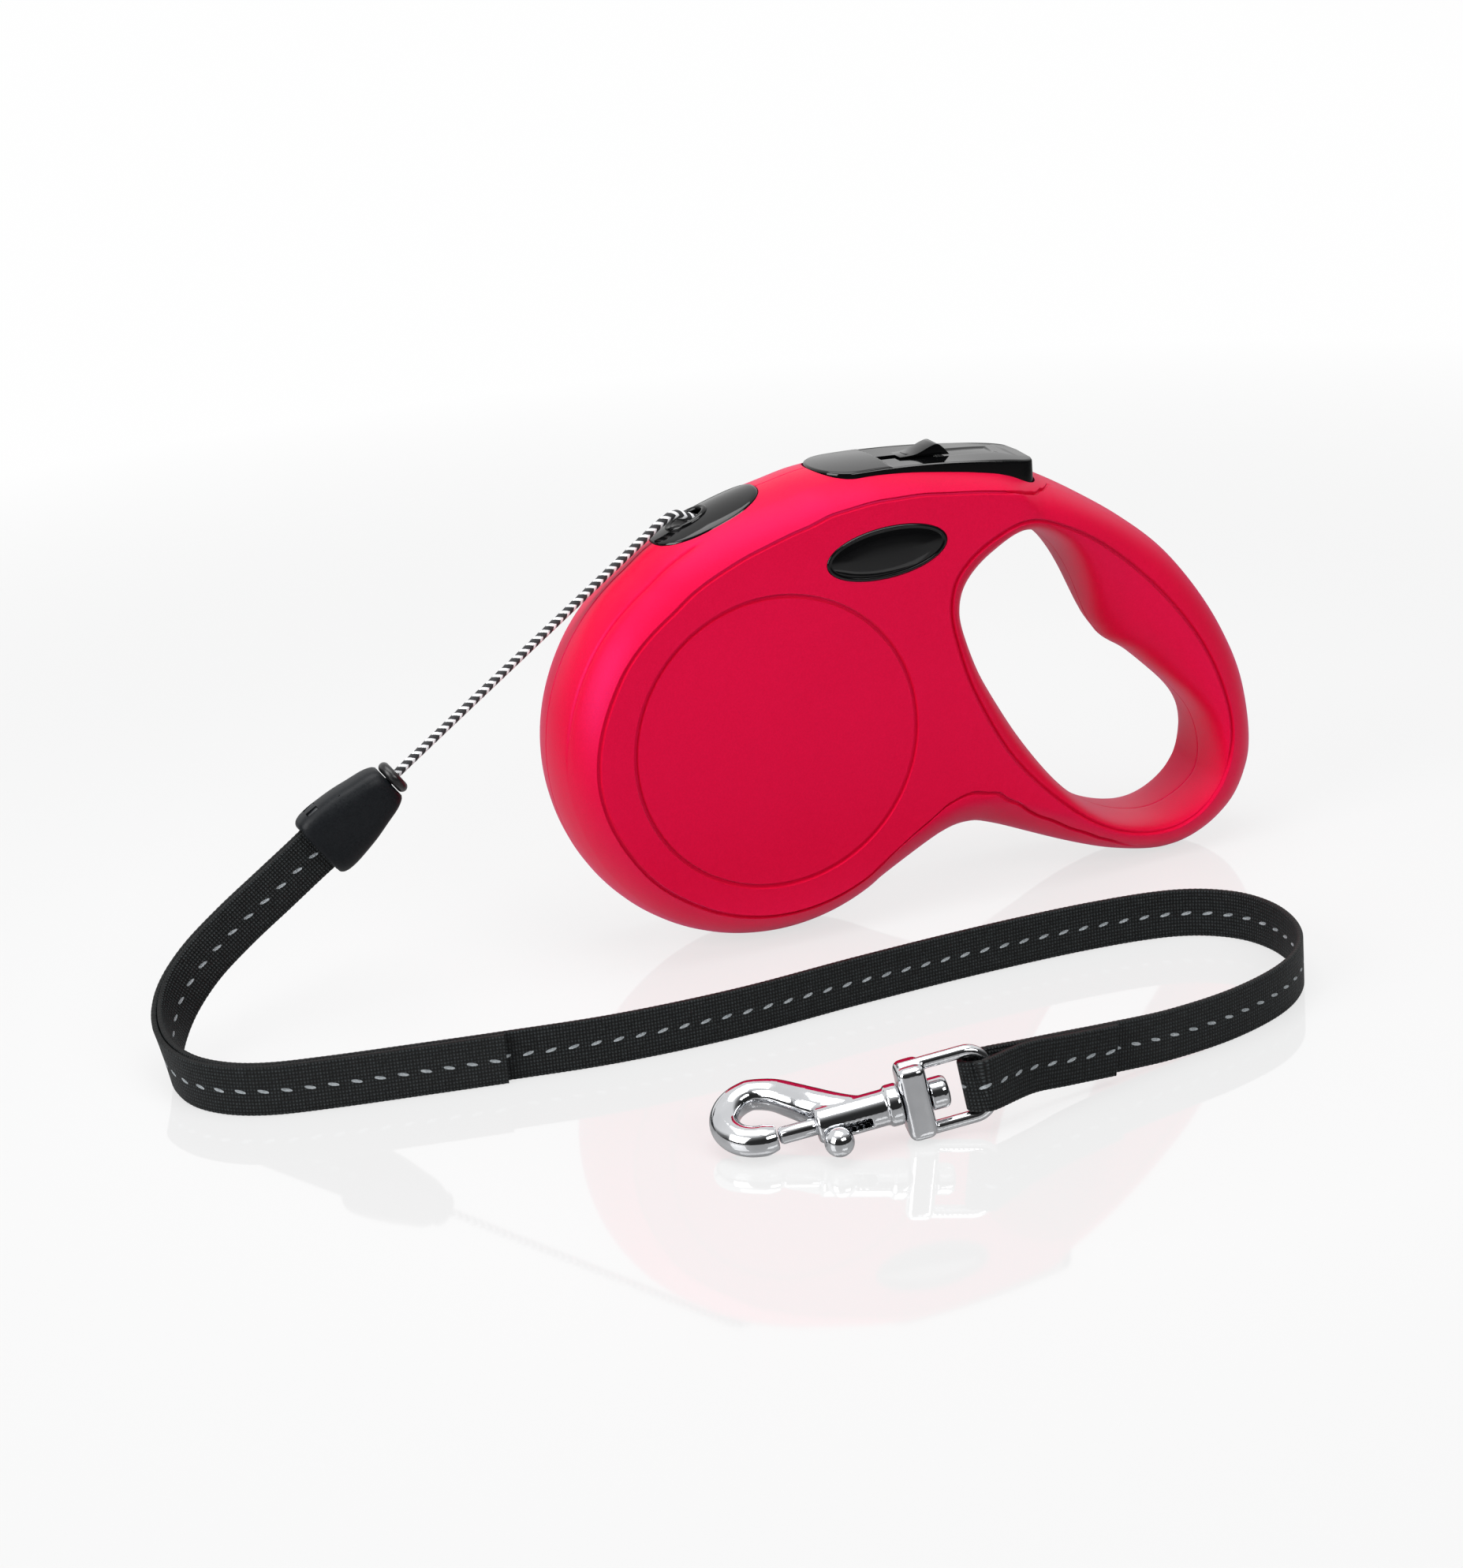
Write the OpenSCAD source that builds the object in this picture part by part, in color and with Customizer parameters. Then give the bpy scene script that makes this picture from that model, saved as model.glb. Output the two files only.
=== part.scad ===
// Retractable leash: reel housing with a hand grip, spring spool, thumb brake, cord, strap and snap hook.
// Millimetres, +Z up, nose towards -X, front face towards -Y, origin under the middle of the housing.
// Side shapes are drawn from the reel axis (x) and the floor (z), then moved along X as one.

/* [Housing] */
// Radius of the round reel end, seen from the side
reel_r = 50.5; // [48:0.5:55]
// Distance from the reel axis to the far side of the grip
grip_reach = 128.5; // [122:0.5:140]
// Thickness of the housing over the reel
body_t = 34.8; // [33:0.2:40]
// Thickness of the housing over the grip
grip_t = 27; // [25:0.5:32]
// Wall of the two shells
wall = 2.2; // [1.8:0.1:2.6]
// Depth of the rounded rim, from the outline in to the flat face
rim_inset = 9; // [8:0.25:10.5]
// Radius of the flat label disc on each face
label_r = 35; // [30:0.5:38]
// Depth of the label disc under the face
label_deep = 0.25; // [0.15:0.05:0.5]

/* [Badge] */
// Length of the oval badge
badge_l = 30.2; // [24:0.2:34]
// Height of the oval badge
badge_h = 12.2; // [9:0.2:14]
// Thickness of the badge
badge_t = 1.3; // [0.8:0.1:1.6]
// Slope of the badge
badge_tilt = 3.5; // [0:0.5:20]

/* [Screws] */
// Radius of the screw thread
screw_r = 1.45; // [1.2:0.05:1.7]
// Radius of the screw head
screw_head_r = 2.5; // [2.2:0.1:2.7]
// Length of the screw under its head
screw_len = 11; // [8:0.5:12]

/* [Spool] */
// Radius of the fixed axle
axle_r = 3; // [2.5:0.1:3.6]
// Outer radius of the drum that the cord winds on
drum_r = 27.5; // [25:0.5:31]
// Wall of the drum
drum_wall = 2.5; // [2:0.1:3.5]
// Width between the flanges
drum_w = 12.6; // [11:0.2:14]
// Thickness of each flange
flange_t = 1.5; // [1.2:0.1:2]
// Room between the flange rim and the shell's rim on the mid-plane
chamber_gap = 4.8; // [4.4:0.1:6]
// Number of brake teeth on the rear flange
teeth = 24; // [24]
// Height of a brake tooth
tooth_h = 2.6; // [2.2:0.1:3]
// Thickness of the spiral spring's ribbon
ribbon_t = 0.5; // [0.3:0.05:0.7]
// Width of the spiral spring's ribbon
ribbon_w = 9.4; // [8:0.2:10]
// Turns of the spiral spring
ribbon_turns = 7; // [5:1:9]

/* [Button] */
// Width of the thumb button
button_w = 21.2; // [20:0.2:22.4]
// Clearance round the button in its slot
button_gap = 0.4; // [0.3:0.05:0.6]
// Radius of the button's pivot pin
pivot_r = 1.25; // [1:0.05:1.5]
// Turn of the button when it is pressed home
press_deg = 4.5; // [3:0.5:5]
// Thickness of the brake pawl
pawl_t = 1.1; // [0.8:0.1:1.3]
// Width of the lock slider's fin
slider_w = 6; // [5:0.5:7]
// Travel of the lock slider
lock_travel = 4; // [3:0.5:4.5]

/* [Cord] */
// Diameter of the braided cord
cord_d = 2; // [1.6:0.1:2.2]
// Length of the outlet insert along the rim
guide_l = 27; // [24:0.5:29]
// Width of the outlet insert
guide_w = 17; // [15:0.5:18]
// Depth of the outlet insert under the rim
guide_deep = 5; // [4:0.25:5.5]
// Radius of the outlet hole
guide_hole_r = 2.4; // [2:0.1:2.8]
// Outer radius of the rubber stop ring
bumper_r = 4.2; // [3.8:0.1:5]
// Thickness of the rubber stop ring
bumper_t = 2.5; // [2:0.1:2.8]

/* [Connector] */
// Length of the cord-to-strap connector
conn_l = 22; // [20:0.5:26]
// Width of the connector at the strap
conn_w = 16.8; // [16:0.2:19]
// Thickness of the connector
conn_t = 9.8; // [9:0.2:11]
// Radius of the pin that the strap is folded round
strap_pin_r = 1; // [0.8:0.05:1.2]

/* [Strap] */
// Width of the woven strap
strap_w = 11.5; // [10:0.25:12]
// Thickness of the woven strap
strap_t = 1.3; // [1:0.05:1.5]

/* [Hook] */
// Wire radius of the swivel eye
eye_wire_r = 1.25; // [1.1:0.05:1.4]
// Length of the swivel eye from its block to its bar
eye_l = 15.6; // [15:0.2:18]
// Radius of the hook's stem in the swivel
stem_r = 2.2; // [1.8:0.1:2.6]
// Radius of the hook's shank
shank_r = 3.8; // [3.5:0.1:4.1]
// Wire radius of the hook's ring
ring_wire_r = 2.7; // [2.3:0.1:2.8]
// Radius of the hook's ring, on its middle line
ring_r = 7.2; // [6.8:0.1:8]
// Radius of the sliding bolt
bolt_r = 1.8; // [1.5:0.05:2]
// Travel of the sliding bolt
bolt_travel = 6.5; // [5:0.5:7]

/* [Hidden] */
$fn = 96;

// Clearances: a running fit on a pin, a loose moving gap and a snug seat
run = 0.05;
loose = 0.4;
seat = 0.15;
// A cut runs this far past the face that it opens
past = 1;

// The side shape is drawn for these two sizes and stretched to the ones set above
drawn_r = 50.5;
drawn_reach = 128.5;
neck_x = 40;
size_k = reel_r / drawn_r;
grip_k = (grip_reach - neck_x * size_k) / (drawn_reach - neck_x);
shift_x = -(grip_reach - reel_r) / 2;
half_body = body_t / 2;
half_grip = grip_t / 2;

function hx(x) = x <= neck_x ? x * size_k : neck_x * size_k + (x - neck_x) * grip_k;
function hp(p) = [hx(p[0]), p[1] * size_k];
function lerp(a, b, t) = a + (b - a) * t;
function ease(t) = let (c = max(0, min(1, t))) c * c * (3 - 2 * c);
function unit(v) = v / norm(v);
function turn_left(v) = [-v[1], v[0]];
function cross2(a, b) = a[0] * b[1] - a[1] * b[0];
function polar(r, a) = [r * cos(a), reel_r + r * sin(a)];
function spline(a, b, c, d, t) = 0.5 * (2 * b + (c - a) * t + (2 * a - 5 * b + 4 * c - d) * t * t
    + (3 * b - a - 3 * c + d) * t * t * t);
function closed_spline(p, n) = let (m = len(p)) [for (i = [0:m - 1]) for (j = [0:n - 1])
    spline(p[(i + m - 1) % m], p[i], p[(i + 1) % m], p[(i + 2) % m], j / n)];
function open_spline(p, n) = let (m = len(p)) concat([for (i = [0:m - 2]) for (j = [0:n - 1])
    spline(p[max(0, i - 1)], p[i], p[i + 1], p[min(m - 1, i + 2)], j / n)], [p[m - 1]]);

// Housing outline on the mid-plane: a true arc round the reel, then the neck, grip and top
arc_from = 124;
arc_to = 302;
arc_steps = 28;
span_steps = 2;
outline_knots = [[42, 15.3], [50, 17], [58, 15], [74, 8], [88, 2.8], [102, 0], [113, 2.2], [122, 8.2],
    [127, 16.8], [128.5, 26], [126.5, 41.5], [121.5, 54.5], [114.8, 66], [106.5, 76.5], [96.5, 85.2],
    [86.5, 92.2], [77, 98], [68, 102.4], [57, 105.5], [44, 108], [31, 109.6], [18, 109.2], [8, 107.4],
    [-4, 104.6], [-14, 101], [-22, 96.9]];
arc_pts = [for (i = [0:arc_steps]) polar(reel_r, lerp(arc_from, arc_to, i / arc_steps))];
outline_ctrl = concat([arc_pts[arc_steps - 1], arc_pts[arc_steps]], [for (p = outline_knots) hp(p)],
    [arc_pts[0], arc_pts[1]]);
curve_pts = [for (i = [1:len(outline_ctrl) - 3]) for (j = [0:span_steps - 1]) if (i > 1 || j > 0)
    spline(outline_ctrl[i - 1], outline_ctrl[i], outline_ctrl[i + 1], outline_ctrl[i + 2], j / span_steps)];
outline = concat(arc_pts, curve_pts);
outline_n = len(outline);

// Finger opening: its edge on the face, and how far its wall swells inwards on the mid-plane
open_knots = [[66, 92.3, 5.5], [55, 88.7, 7], [47.5, 82.5, 7.5], [45, 75, 7], [46, 66, 7], [50, 52.5, 7],
    [59, 35, 6.5], [72.7, 20, 4.5], [86, 11, 3], [99, 7.6, 2.3], [109, 10, 1.6], [116.3, 17.5, 0.8],
    [119.3, 28.5, 5.5], [117.3, 41, 14], [111.2, 55, 16], [101, 69, 16], [88.5, 81, 16], [77, 88.5, 7]];
open_mid = hp([84, 51]);
open_steps = 4;
open_pts = closed_spline([for (p = open_knots) concat(hp(p), [p[2]])], open_steps);

// Places on the opening's edge, counted along its points: the place itself, the one nearest to p, and the
// one on the ray from the middle along d
function flat(p) = [p[0], p[1]];
function edge_at(u) = let (m = len(open_pts), v = u - m * floor(u / m), j = floor(v))
    lerp(open_pts[j], open_pts[(j + 1) % m], v - j);
function edge_near(p) = let (m = len(open_pts), all = [for (j = [0:m - 1])
    let (a = flat(open_pts[j]), b = flat(open_pts[(j + 1) % m]) - a, t = max(0, min(1, (p - a) * b / (b * b))))
    [norm(a + b * t - p), j + t]], least = min([for (q = all) q[0]])) [for (q = all) if (q[0] == least) q][0];
function edge_ray(d) = let (m = len(open_pts)) [for (j = [0:m - 1])
    let (a = flat(open_pts[j]) - open_mid, b = flat(open_pts[(j + 1) % m]) - open_mid,
        ca = cross2(a, d), cb = cross2(b, d))
    if (ca >= 0 && cb < 0 && a * d > 0) j + ca / (ca - cb)][0];

// Half thickness, which eases from the reel to the grip
taper_from = hx(62);
taper_to = hx(105);
function half_at(x) = lerp(half_body, half_grip, ease((x - taper_from) / (taper_to - taper_from)));

// Closed wall section at one outline point: rim, face, opening wall, and the same inside
rim_deg = 62;
rim_steps = 5;
swell_steps = 4;
inner_steps = 4;
crest_gap = 0.8;
function rim_in(f) = (1 - cos(f * rim_deg)) / (1 - cos(rim_deg));
function rim_up(f) = sin(f * rim_deg) / sin(rim_deg);
function lift(p, y) = [p[0], y, p[1]];
// Each outline point pairs with the nearest place on the opening's edge, spread a little by the rays on the reel,
// so that the face's lines never cross
ray_share = 0.2;
function section(i) = let (o = outline[i], m = len(open_pts),
        t = unit(outline[(i + 1) % outline_n] - outline[(i + outline_n - 1) % outline_n]),
        near = edge_near(o), far = ease(near[0] / rim_inset - 1.2),
        inward = unit(lerp(unit(flat(edge_at(near[1])) - o), turn_left(t), far)), half = half_at(o[0]),
        deep = min(rim_inset, near[0] - crest_gap), u = edge_near(o + inward * deep)[1],
        step = edge_ray(o - open_mid) - u, h = edge_at(u + ray_share * far * (step - m * round(step / m))),
        e = flat(h), swell = h[2], d = unit(open_mid - e))
    concat(
        [for (k = [0:rim_steps]) let (f = k / rim_steps)
            lift(o + inward * deep * rim_in(f), half * rim_up(f))],
        [for (k = [0:swell_steps]) let (a = 90 * k / swell_steps)
            lift(e + d * swell * sin(a), k == swell_steps ? 0 : half * cos(a))],
        [for (k = [swell_steps:-1:0]) let (a = 90 * k / swell_steps)
            lift(e + d * (swell - wall) * sin(a), k == swell_steps ? 0 : (half - wall) * cos(a))],
        [for (k = [inner_steps:-1:0]) let (f = k / inner_steps)
            lift(o + inward * lerp(wall, deep, rim_in(f)), (half - wall) * rim_up(f))]);

// Solid from rings of points: closed round in both ways, or an open tube with flat ends
function band(i, j, m, n, k) = let (a = i * m + j, b = i * m + (j + 1) % m, c = ((i + 1) % n) * m + (j + 1) % m,
    d = ((i + 1) % n) * m + j) k == 0 ? [a, c, b] : [a, d, c];
function ring_points(rings) = [for (r = rings) for (p = r) p];
module loop_solid(rings) {
    n = len(rings);
    m = len(rings[0]);
    polyhedron(ring_points(rings), [for (i = [0:n - 1]) for (j = [0:m - 1]) for (k = [0, 1]) band(i, j, m, n, k)]);
}
module tube_solid(rings) {
    n = len(rings);
    m = len(rings[0]);
    sides = [for (i = [0:n - 2]) for (j = [0:m - 1]) for (k = [0, 1]) band(i, j, m, n, k)];
    caps = [for (j = [1:m - 2]) for (k = [0, 1]) k == 0 ? [0, j, j + 1]
        : [(n - 1) * m, (n - 1) * m + j + 1, (n - 1) * m + j]];
    polyhedron(ring_points(rings), concat(sides, caps));
}
function heading(p, i) = unit(p[min(len(p) - 1, i + 1)] - p[max(0, i - 1)]);
// Round cord of radius r along the path p, its sides counted from the direction square to ref
function cord_rings(p, r, sides, ref) = [for (i = [0:len(p) - 1])
    let (t = heading(p, i), u = unit(cross(t, ref)), v = cross(t, u))
    [for (j = [0:sides - 1]) p[i] + r * (cos(360 * j / sides) * u + sin(360 * j / sides) * v)]];

// Simple shapes: a slab cut from an XZ outline, and a round along Y
module slab(y0, y1) translate([0, y1, 0]) rotate([90, 0, 0]) linear_extrude(y1 - y0) children();
module along_y(p, r, y0, y1) translate([p[0], y0, p[1]]) rotate([-90, 0, 0]) cylinder(r = r, h = y1 - y0);
module at_reel() translate([0, 0, reel_r]) rotate([-90, 0, 0]) children();
module in_housing() translate([shift_x, 0, 0]) children();
function oval(a, b, n) = [for (i = [0:n - 1]) [a * cos(360 * i / n), b * sin(360 * i / n)]];

// Screws: four, in the neck and along the grip, driven from the rear
screw_spots = [hp([47, 27]), hp([57, 92.5]), hp([100.5, 68.5]), hp([114.2, 48.6])];
screw_seat_y = 4;
screw_head_t = 2;
front_boss_r = screw_r + 1.9;
rear_boss_r = screw_head_r + 1;

// Axle and spool positions across the housing
inner_half = half_body - wall;
spool_half = drum_w / 2 + flange_t;
hub_r = axle_r + 3;
hub_half = inner_half - 4;
axle_half = inner_half - 1;
flange_r = reel_r - wall - chamber_gap;
drum_in = drum_r - drum_wall;
wound_r = flange_r - 3.5;

// Oval plate on the front face
badge_at = [30, 90.8];

// Button: pivot, plan and side profile
pivot = hp([22, 100]);
pivot_boss_r = pivot_r + 1.6;
lug_half = 4.5;
button_half = button_w / 2;
button_nose_x = hx(27);
button_nose_l = 8.6;
button_rear_x = hx(72);
button_corner = 4;
crown_at = hp([26, 109.5]);
crown_r = 230;
crown_rim_r = 90;
side_knots = [[12, 103], [12, 113], [76, 113], [76, 96.2], [60, 99.3], [45, 102], [29, 103.2], [27, 97], [17, 97]];
roof_t = 2.6;
pocket_run = 20;
tall = 200;
skirt_t = 1.5;
slide_deg = 5.5;
slide_dir = [-cos(slide_deg), sin(slide_deg)];
slide_up = [sin(slide_deg), cos(slide_deg)];
bed_deep = 0.9;
bed_half = slider_w / 2 + 1.6;
slide_line_at = crown_at - [0, crown_r] + (crown_r - bed_deep) * slide_up + 13.5 * slide_dir;
// Point on the bed of the button's top, at a distance behind its front edge and a height over it
function on_top(back, up) = slide_line_at - slide_dir * back + slide_up * up;

// Brake pawl: on the side of the button, over the toothed flange
pawl_y = drum_w / 2 + (flange_t - pawl_t) / 2;
rib_in = pawl_y - 0.5;
rib_out = pawl_y + pawl_t + 0.4;
pawl_top = [hp([33, 102.6]), hp([40, 102.15])];
tongue_x = [hx(34.5), hx(38.5)];
tongue_up = 2.2;
pawl_neck = [[43.5, 92], [36.5, 92]];

// Outlet insert on the rim
guide_at = hp([-8, 103.3]);
guide_slope = 19.3;
guide_crown_r = 95;
guide_rim_r = 21;
guide_proud = 0.4;
hole_from = [16.5, 88.9];
hole_to = [-12.8, 103.1];
hole_reach = 20;
hole_slope = atan2(hole_to[1] - hole_from[1], hole_from[0] - hole_to[0]);

// Cord: off the winding, through the outlet, over its lip and straight to the connector
cord_r = cord_d / 2;
cord_deg = 34.9;
cord_bend = [-22, 99.3];
function on_cord(d) = cord_bend - d * [cos(cord_deg), sin(cord_deg)];
conn_at = 80.5;
cord_end = conn_at + 11;
cord_route = [[16.5, 88.9], [4, 95], [-6, 99.8], [-11.5, 102.45], [-14.7, 103.4], [-18, 102], cord_bend,
    on_cord(20), on_cord(40), on_cord(60), on_cord(cord_end)];
cord_path = [for (p = open_spline(cord_route, 2)) lift(p, 0)];

// Connector frame: u runs from the cord end to the strap end
module in_connector() translate(lift(on_cord(conn_at), 0)) rotate([0, cord_deg, 180]) children();
pocket_u = 10;
pocket_half_w = conn_w / 2 - 1.4;
pocket_half_t = conn_t / 2 - 1.9;
strap_pin_u = 15.5;
window_u = 17;
window_l = 3;
window_t = 1.6;
window_y = 1.6;

// Hook frame: u runs from the swivel's block to the hook's ring, and the hook is rolled on the swivel
swivel_at = [-17.6, -128.7, 9];
hook_turn = 168;
hook_dip = 8.5;
hook_roll = -17;
module in_eye() translate(swivel_at) rotate([0, 0, hook_turn]) rotate([0, hook_dip, 0]) children();
module in_hook() in_eye() rotate([hook_roll, 0, 0]) children();
hook_u = [cos(hook_turn) * cos(hook_dip), sin(hook_turn) * cos(hook_dip), -sin(hook_dip)];
bar_across = [cos(hook_turn) * sin(hook_dip), sin(hook_turn) * sin(hook_dip), cos(hook_dip)];
block_l = 6;
block_w = 8;
block_half_h = 7.9;
eye_half_h = strap_w / 2 + 0.4 + 2 * eye_wire_r;
eye_bend_r = 4;
rivet_r = stem_r + 1.2;
rivet_l = 4;
collar_l = 3;
collar_r = shank_r + 0.6;
shank_from = block_l / 2 + run + collar_l;
shank_to = 21;
bore_from = 7.2;
bolt_back = 16;
bolt_tip = 28.9;
knob_u = 17.6;
knob_neck_r = 1;
knob_r = 3.1;
ring_far_u = 31.4;
ring_tip_u = 29.2;

// Strap: middle line on the floor and up to the connector, as x, y, rise of its lower edge and lean
strap_pin_at = on_cord(conn_at + strap_pin_u);
eye_bar_at = swivel_at - eye_l * hook_u;
strap_half = strap_w / 2;
layer = strap_t / 2 + 0.15;
fold_gap = 0.3;
strap_marks = [[-107, 0, 34.3, 35], [-117, 0, 27.4, 35], [-127, 0, 20.5, 35], [-136, -1, 13.8, 33],
    [-143, -5, 7.8, 27], [-147.5, -13, 3.4, 18], [-149, -23, 1.2, 9], [-147, -33, 0.3, 3],
    [-141.5, -41, 0.1, 0], [-133, -46.5, 0.1, 0], [-120, -50, 0.1, 0], [-102, -53.5, 0.1, 0],
    [-83, -57, 0.1, 0], [-58, -60, 0.1, 0], [-30, -60.5, 0.1, 0], [0, -57.5, 0.1, 0], [30, -55.5, 0.1, 0],
    [58, -55.5, 0.1, 0], [78, -58.5, 0.1, 0], [89, -66, 0.1, 0], [93.5, -77, 0.1, 0], [92.5, -90, 0.1, 0],
    [87, -101.5, 0.1, 0], [77, -110.5, 0.1, 0], [62, -117, 0.1, 0], [45, -120.8, 0.5, 1],
    [30, -123.8, 1.7, 3], [18, -125.8, 3, 6], [8, -128.2, 4.4, 8]];
tail_from = 12;
tail_to = 26;
strap_mid = [for (m = strap_marks) [m[0], m[1], strap_half + m[2]]];
strap_across = [for (m = strap_marks) [-sin(m[3]), 0, cos(m[3])]];
strap_n = len(strap_marks);
// Direction from the strap's middle line to the inside of its first bend
function strap_side(i) = unit(cross(strap_across[i], heading(strap_mid, i)));
function layer_at(i, k) = strap_mid[i] + k * layer * strap_side(i);
function main_layer(i) = i <= tail_from ? 1 : i >= tail_to ? -1 : 0;
// Half turn round a pin: from one layer to the other
function fold(mid, ahead, side, r, reach) = [for (a = [0:45:180])
    mid + r * cos(a) * side + reach * sin(a) * ahead];
pin_fold_r = strap_pin_r + fold_gap + strap_t / 2;
bar_fold_r = eye_wire_r + 3 * fold_gap + strap_t / 2;
bar_fold_l = 5;
conn_up = [cos(cord_deg), 0, sin(cord_deg)];
conn_across = [-sin(cord_deg), 0, cos(cord_deg)];
pin_fold = fold(lift(strap_pin_at, 0), conn_up, [0, 1, 0], pin_fold_r, pin_fold_r);
bar_fold = fold(eye_bar_at, hook_u, unit(cross(hook_u, [0, 0, 1])), bar_fold_r, bar_fold_l);
strap_path = concat([for (i = [tail_from:-1:0]) layer_at(i, -1)], pin_fold,
    [for (i = [0:strap_n - 1]) layer_at(i, main_layer(i))], bar_fold,
    [for (i = [strap_n - 1:-1:tail_to]) layer_at(i, 1)]);
strap_ups = concat([for (i = [tail_from:-1:0]) strap_across[i]], [for (p = pin_fold) conn_across],
    strap_across, [for (p = bar_fold) bar_across], [for (i = [strap_n - 1:-1:tail_to]) strap_across[i]]);
function strap_ring(i) = let (t = heading(strap_path, i), s = unit(cross(strap_ups[i], t)), w = cross(t, s))
    [for (c = [[-1, -1], [1, -1], [1, 1], [-1, 1]])
        strap_path[i] + c[0] * strap_t / 2 * s + c[1] * strap_half * w];

// Rear half of the housing, without its cuts
module half_shell() loop_solid([for (i = [0:outline_n - 1]) section(i)]);

module button_plan(c) polygon(concat(
    [for (a = [90:10:270]) [button_nose_x + (button_nose_l + c) * cos(a), (button_half + c) * sin(a)]],
    [for (a = [-90:15:0]) [button_rear_x - button_corner, button_corner - button_half]
        + (button_corner + c) * [cos(a), sin(a)]],
    [for (a = [0:15:90]) [button_rear_x - button_corner, button_half - button_corner]
        + (button_corner + c) * [cos(a), sin(a)]]));

// Slot in the top of both shells that the button moves in
module button_slot() intersection() {
    linear_extrude(height = tall) button_plan(button_gap);
    slab(-half_body, half_body) polygon([hp([10, 103]), hp([29, 101]), hp([80, 92.5]), hp([80, 125]), hp([10, 125])]);
}

module guide_frame() translate(lift(guide_at, 0)) rotate([0, -guide_slope, 0]) children();
module guide_plug(c, up) guide_frame() translate([0, 0, -guide_deep - c])
    linear_extrude(guide_deep + c + up) polygon(oval(guide_l / 2 + c, guide_w / 2 + c, 48));

// Thick disc with a round rim, whose top crowns the outlet insert and the button
module crown_disc(r, rim) rotate([90, 0, 0]) rotate_extrude($fn = 360) {
    translate([r - rim, 0]) circle(rim);
    translate([0, -rim]) square([r - rim, 2 * rim]);
}

module label_cut() at_reel() translate([0, 0, half_body - label_deep]) cylinder(r = label_r, h = past);

module front_shell() color("crimson") in_housing() difference() {
    union() {
        mirror([0, 1, 0]) half_shell();
        along_y([0, reel_r], hub_r, -inner_half - seat, -hub_half - loose);
        for (p = screw_spots) along_y(p, front_boss_r, -half_at(p[0]) + wall - 0.1, 0);
        along_y(pivot, pivot_boss_r, -inner_half + 1, -button_half - loose);
    }
    along_y([0, reel_r], axle_r, -axle_half, 0);
    for (p = screw_spots) along_y(p, screw_r, screw_seat_y - screw_len - seat, past);
    along_y(pivot, pivot_r, -inner_half + 2, 0);
    button_slot();
    guide_plug(seat, 12);
    mirror([0, 1, 0]) label_cut();
    badge_oval(-half_body - past, badge_t + past, seat);
}

module rear_shell() color("crimson") in_housing() difference() {
    union() {
        half_shell();
        along_y([0, reel_r], hub_r, hub_half + loose, inner_half + seat);
        for (p = screw_spots) along_y(p, rear_boss_r, 0, half_at(p[0]) - wall + 0.1);
        along_y(pivot, pivot_boss_r, button_half + loose, inner_half - 1);
    }
    along_y([0, reel_r], axle_r, 0, axle_half);
    for (p = screw_spots) {
        along_y(p, screw_r + 0.2, -past, screw_seat_y + past);
        along_y(p, screw_head_r + 0.3, screw_seat_y, half_body + past);
    }
    along_y(pivot, pivot_r, 0, inner_half - 2);
    button_slot();
    guide_plug(seat, 12);
    label_cut();
}

module shell_screws() color("silver") in_housing() for (p = screw_spots) {
    along_y(p, screw_r, screw_seat_y - screw_len, screw_seat_y);
    along_y(p, screw_head_r, screw_seat_y, screw_seat_y + screw_head_t);
}

// Oval plate on the front face, or its recess
module badge_oval(y, t, c) translate(lift(hp(badge_at), y)) rotate([0, -badge_tilt, 0])
    slab(0, t) polygon(oval(badge_l / 2 + c, badge_h / 2 + c, 48));
module badge() color("black") in_housing() badge_oval(-half_body, badge_t, 0);

// Outlet insert: an oval plug crowned like the rim, with a sloping hole and a flared mouth
module cord_guide() color("black") in_housing() difference() {
    intersection() {
        guide_plug(0, 6);
        guide_frame() translate([0, 0, guide_proud - guide_crown_r]) crown_disc(guide_crown_r, guide_rim_r);
    }
    translate(lift(hp(hole_to), 0)) rotate([0, -90 + hole_slope, 0]) {
        translate([0, 0, -hole_reach]) cylinder(r = guide_hole_r, h = 2 * hole_reach);
        translate([0, 0, -1]) cylinder(r1 = guide_hole_r, r2 = guide_hole_r + 2.4, h = 5);
    }
}

module spool_axle() color("silver") in_housing() along_y([0, reel_r], axle_r, -axle_half, axle_half);

tooth_root = 2.8;
tooth_tip = 1.2;
function tooth_ring() = [for (i = [0:teeth - 1]) let (a = 360 * (i + 0.5) / teeth)
    for (q = [[-tooth_root, flange_r - tooth_h], [-tooth_tip, flange_r], [tooth_tip, flange_r],
        [tooth_root, flange_r - tooth_h]]) q[1] * [cos(a + q[0]), sin(a + q[0])]];

// Cord drum: front flange with the bearing hub, drum wall, toothed rear flange
module spool() color("dimgray") in_housing() at_reel() {
    rotate_extrude() polygon([[axle_r + run, -hub_half], [hub_r, -hub_half], [hub_r, -spool_half],
        [flange_r, -spool_half], [flange_r, -drum_w / 2], [drum_r, -drum_w / 2], [drum_r, spool_half],
        [drum_in, spool_half], [drum_in, -drum_w / 2], [axle_r + run, -drum_w / 2]]);
    translate([0, 0, drum_w / 2]) linear_extrude(flange_t) difference() {
        polygon(tooth_ring());
        circle(drum_r - drum_wall / 2);
    }
}

// Disc that closes the spring chamber and carries the drum's rear on the axle
module spring_cover() color("gray") in_housing() at_reel() rotate_extrude()
    polygon([[axle_r + run, ribbon_w / 2 + loose], [drum_in, ribbon_w / 2 + loose],
        [drum_in, spool_half], [hub_r, spool_half], [hub_r, hub_half], [axle_r + run, hub_half]]);

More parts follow.
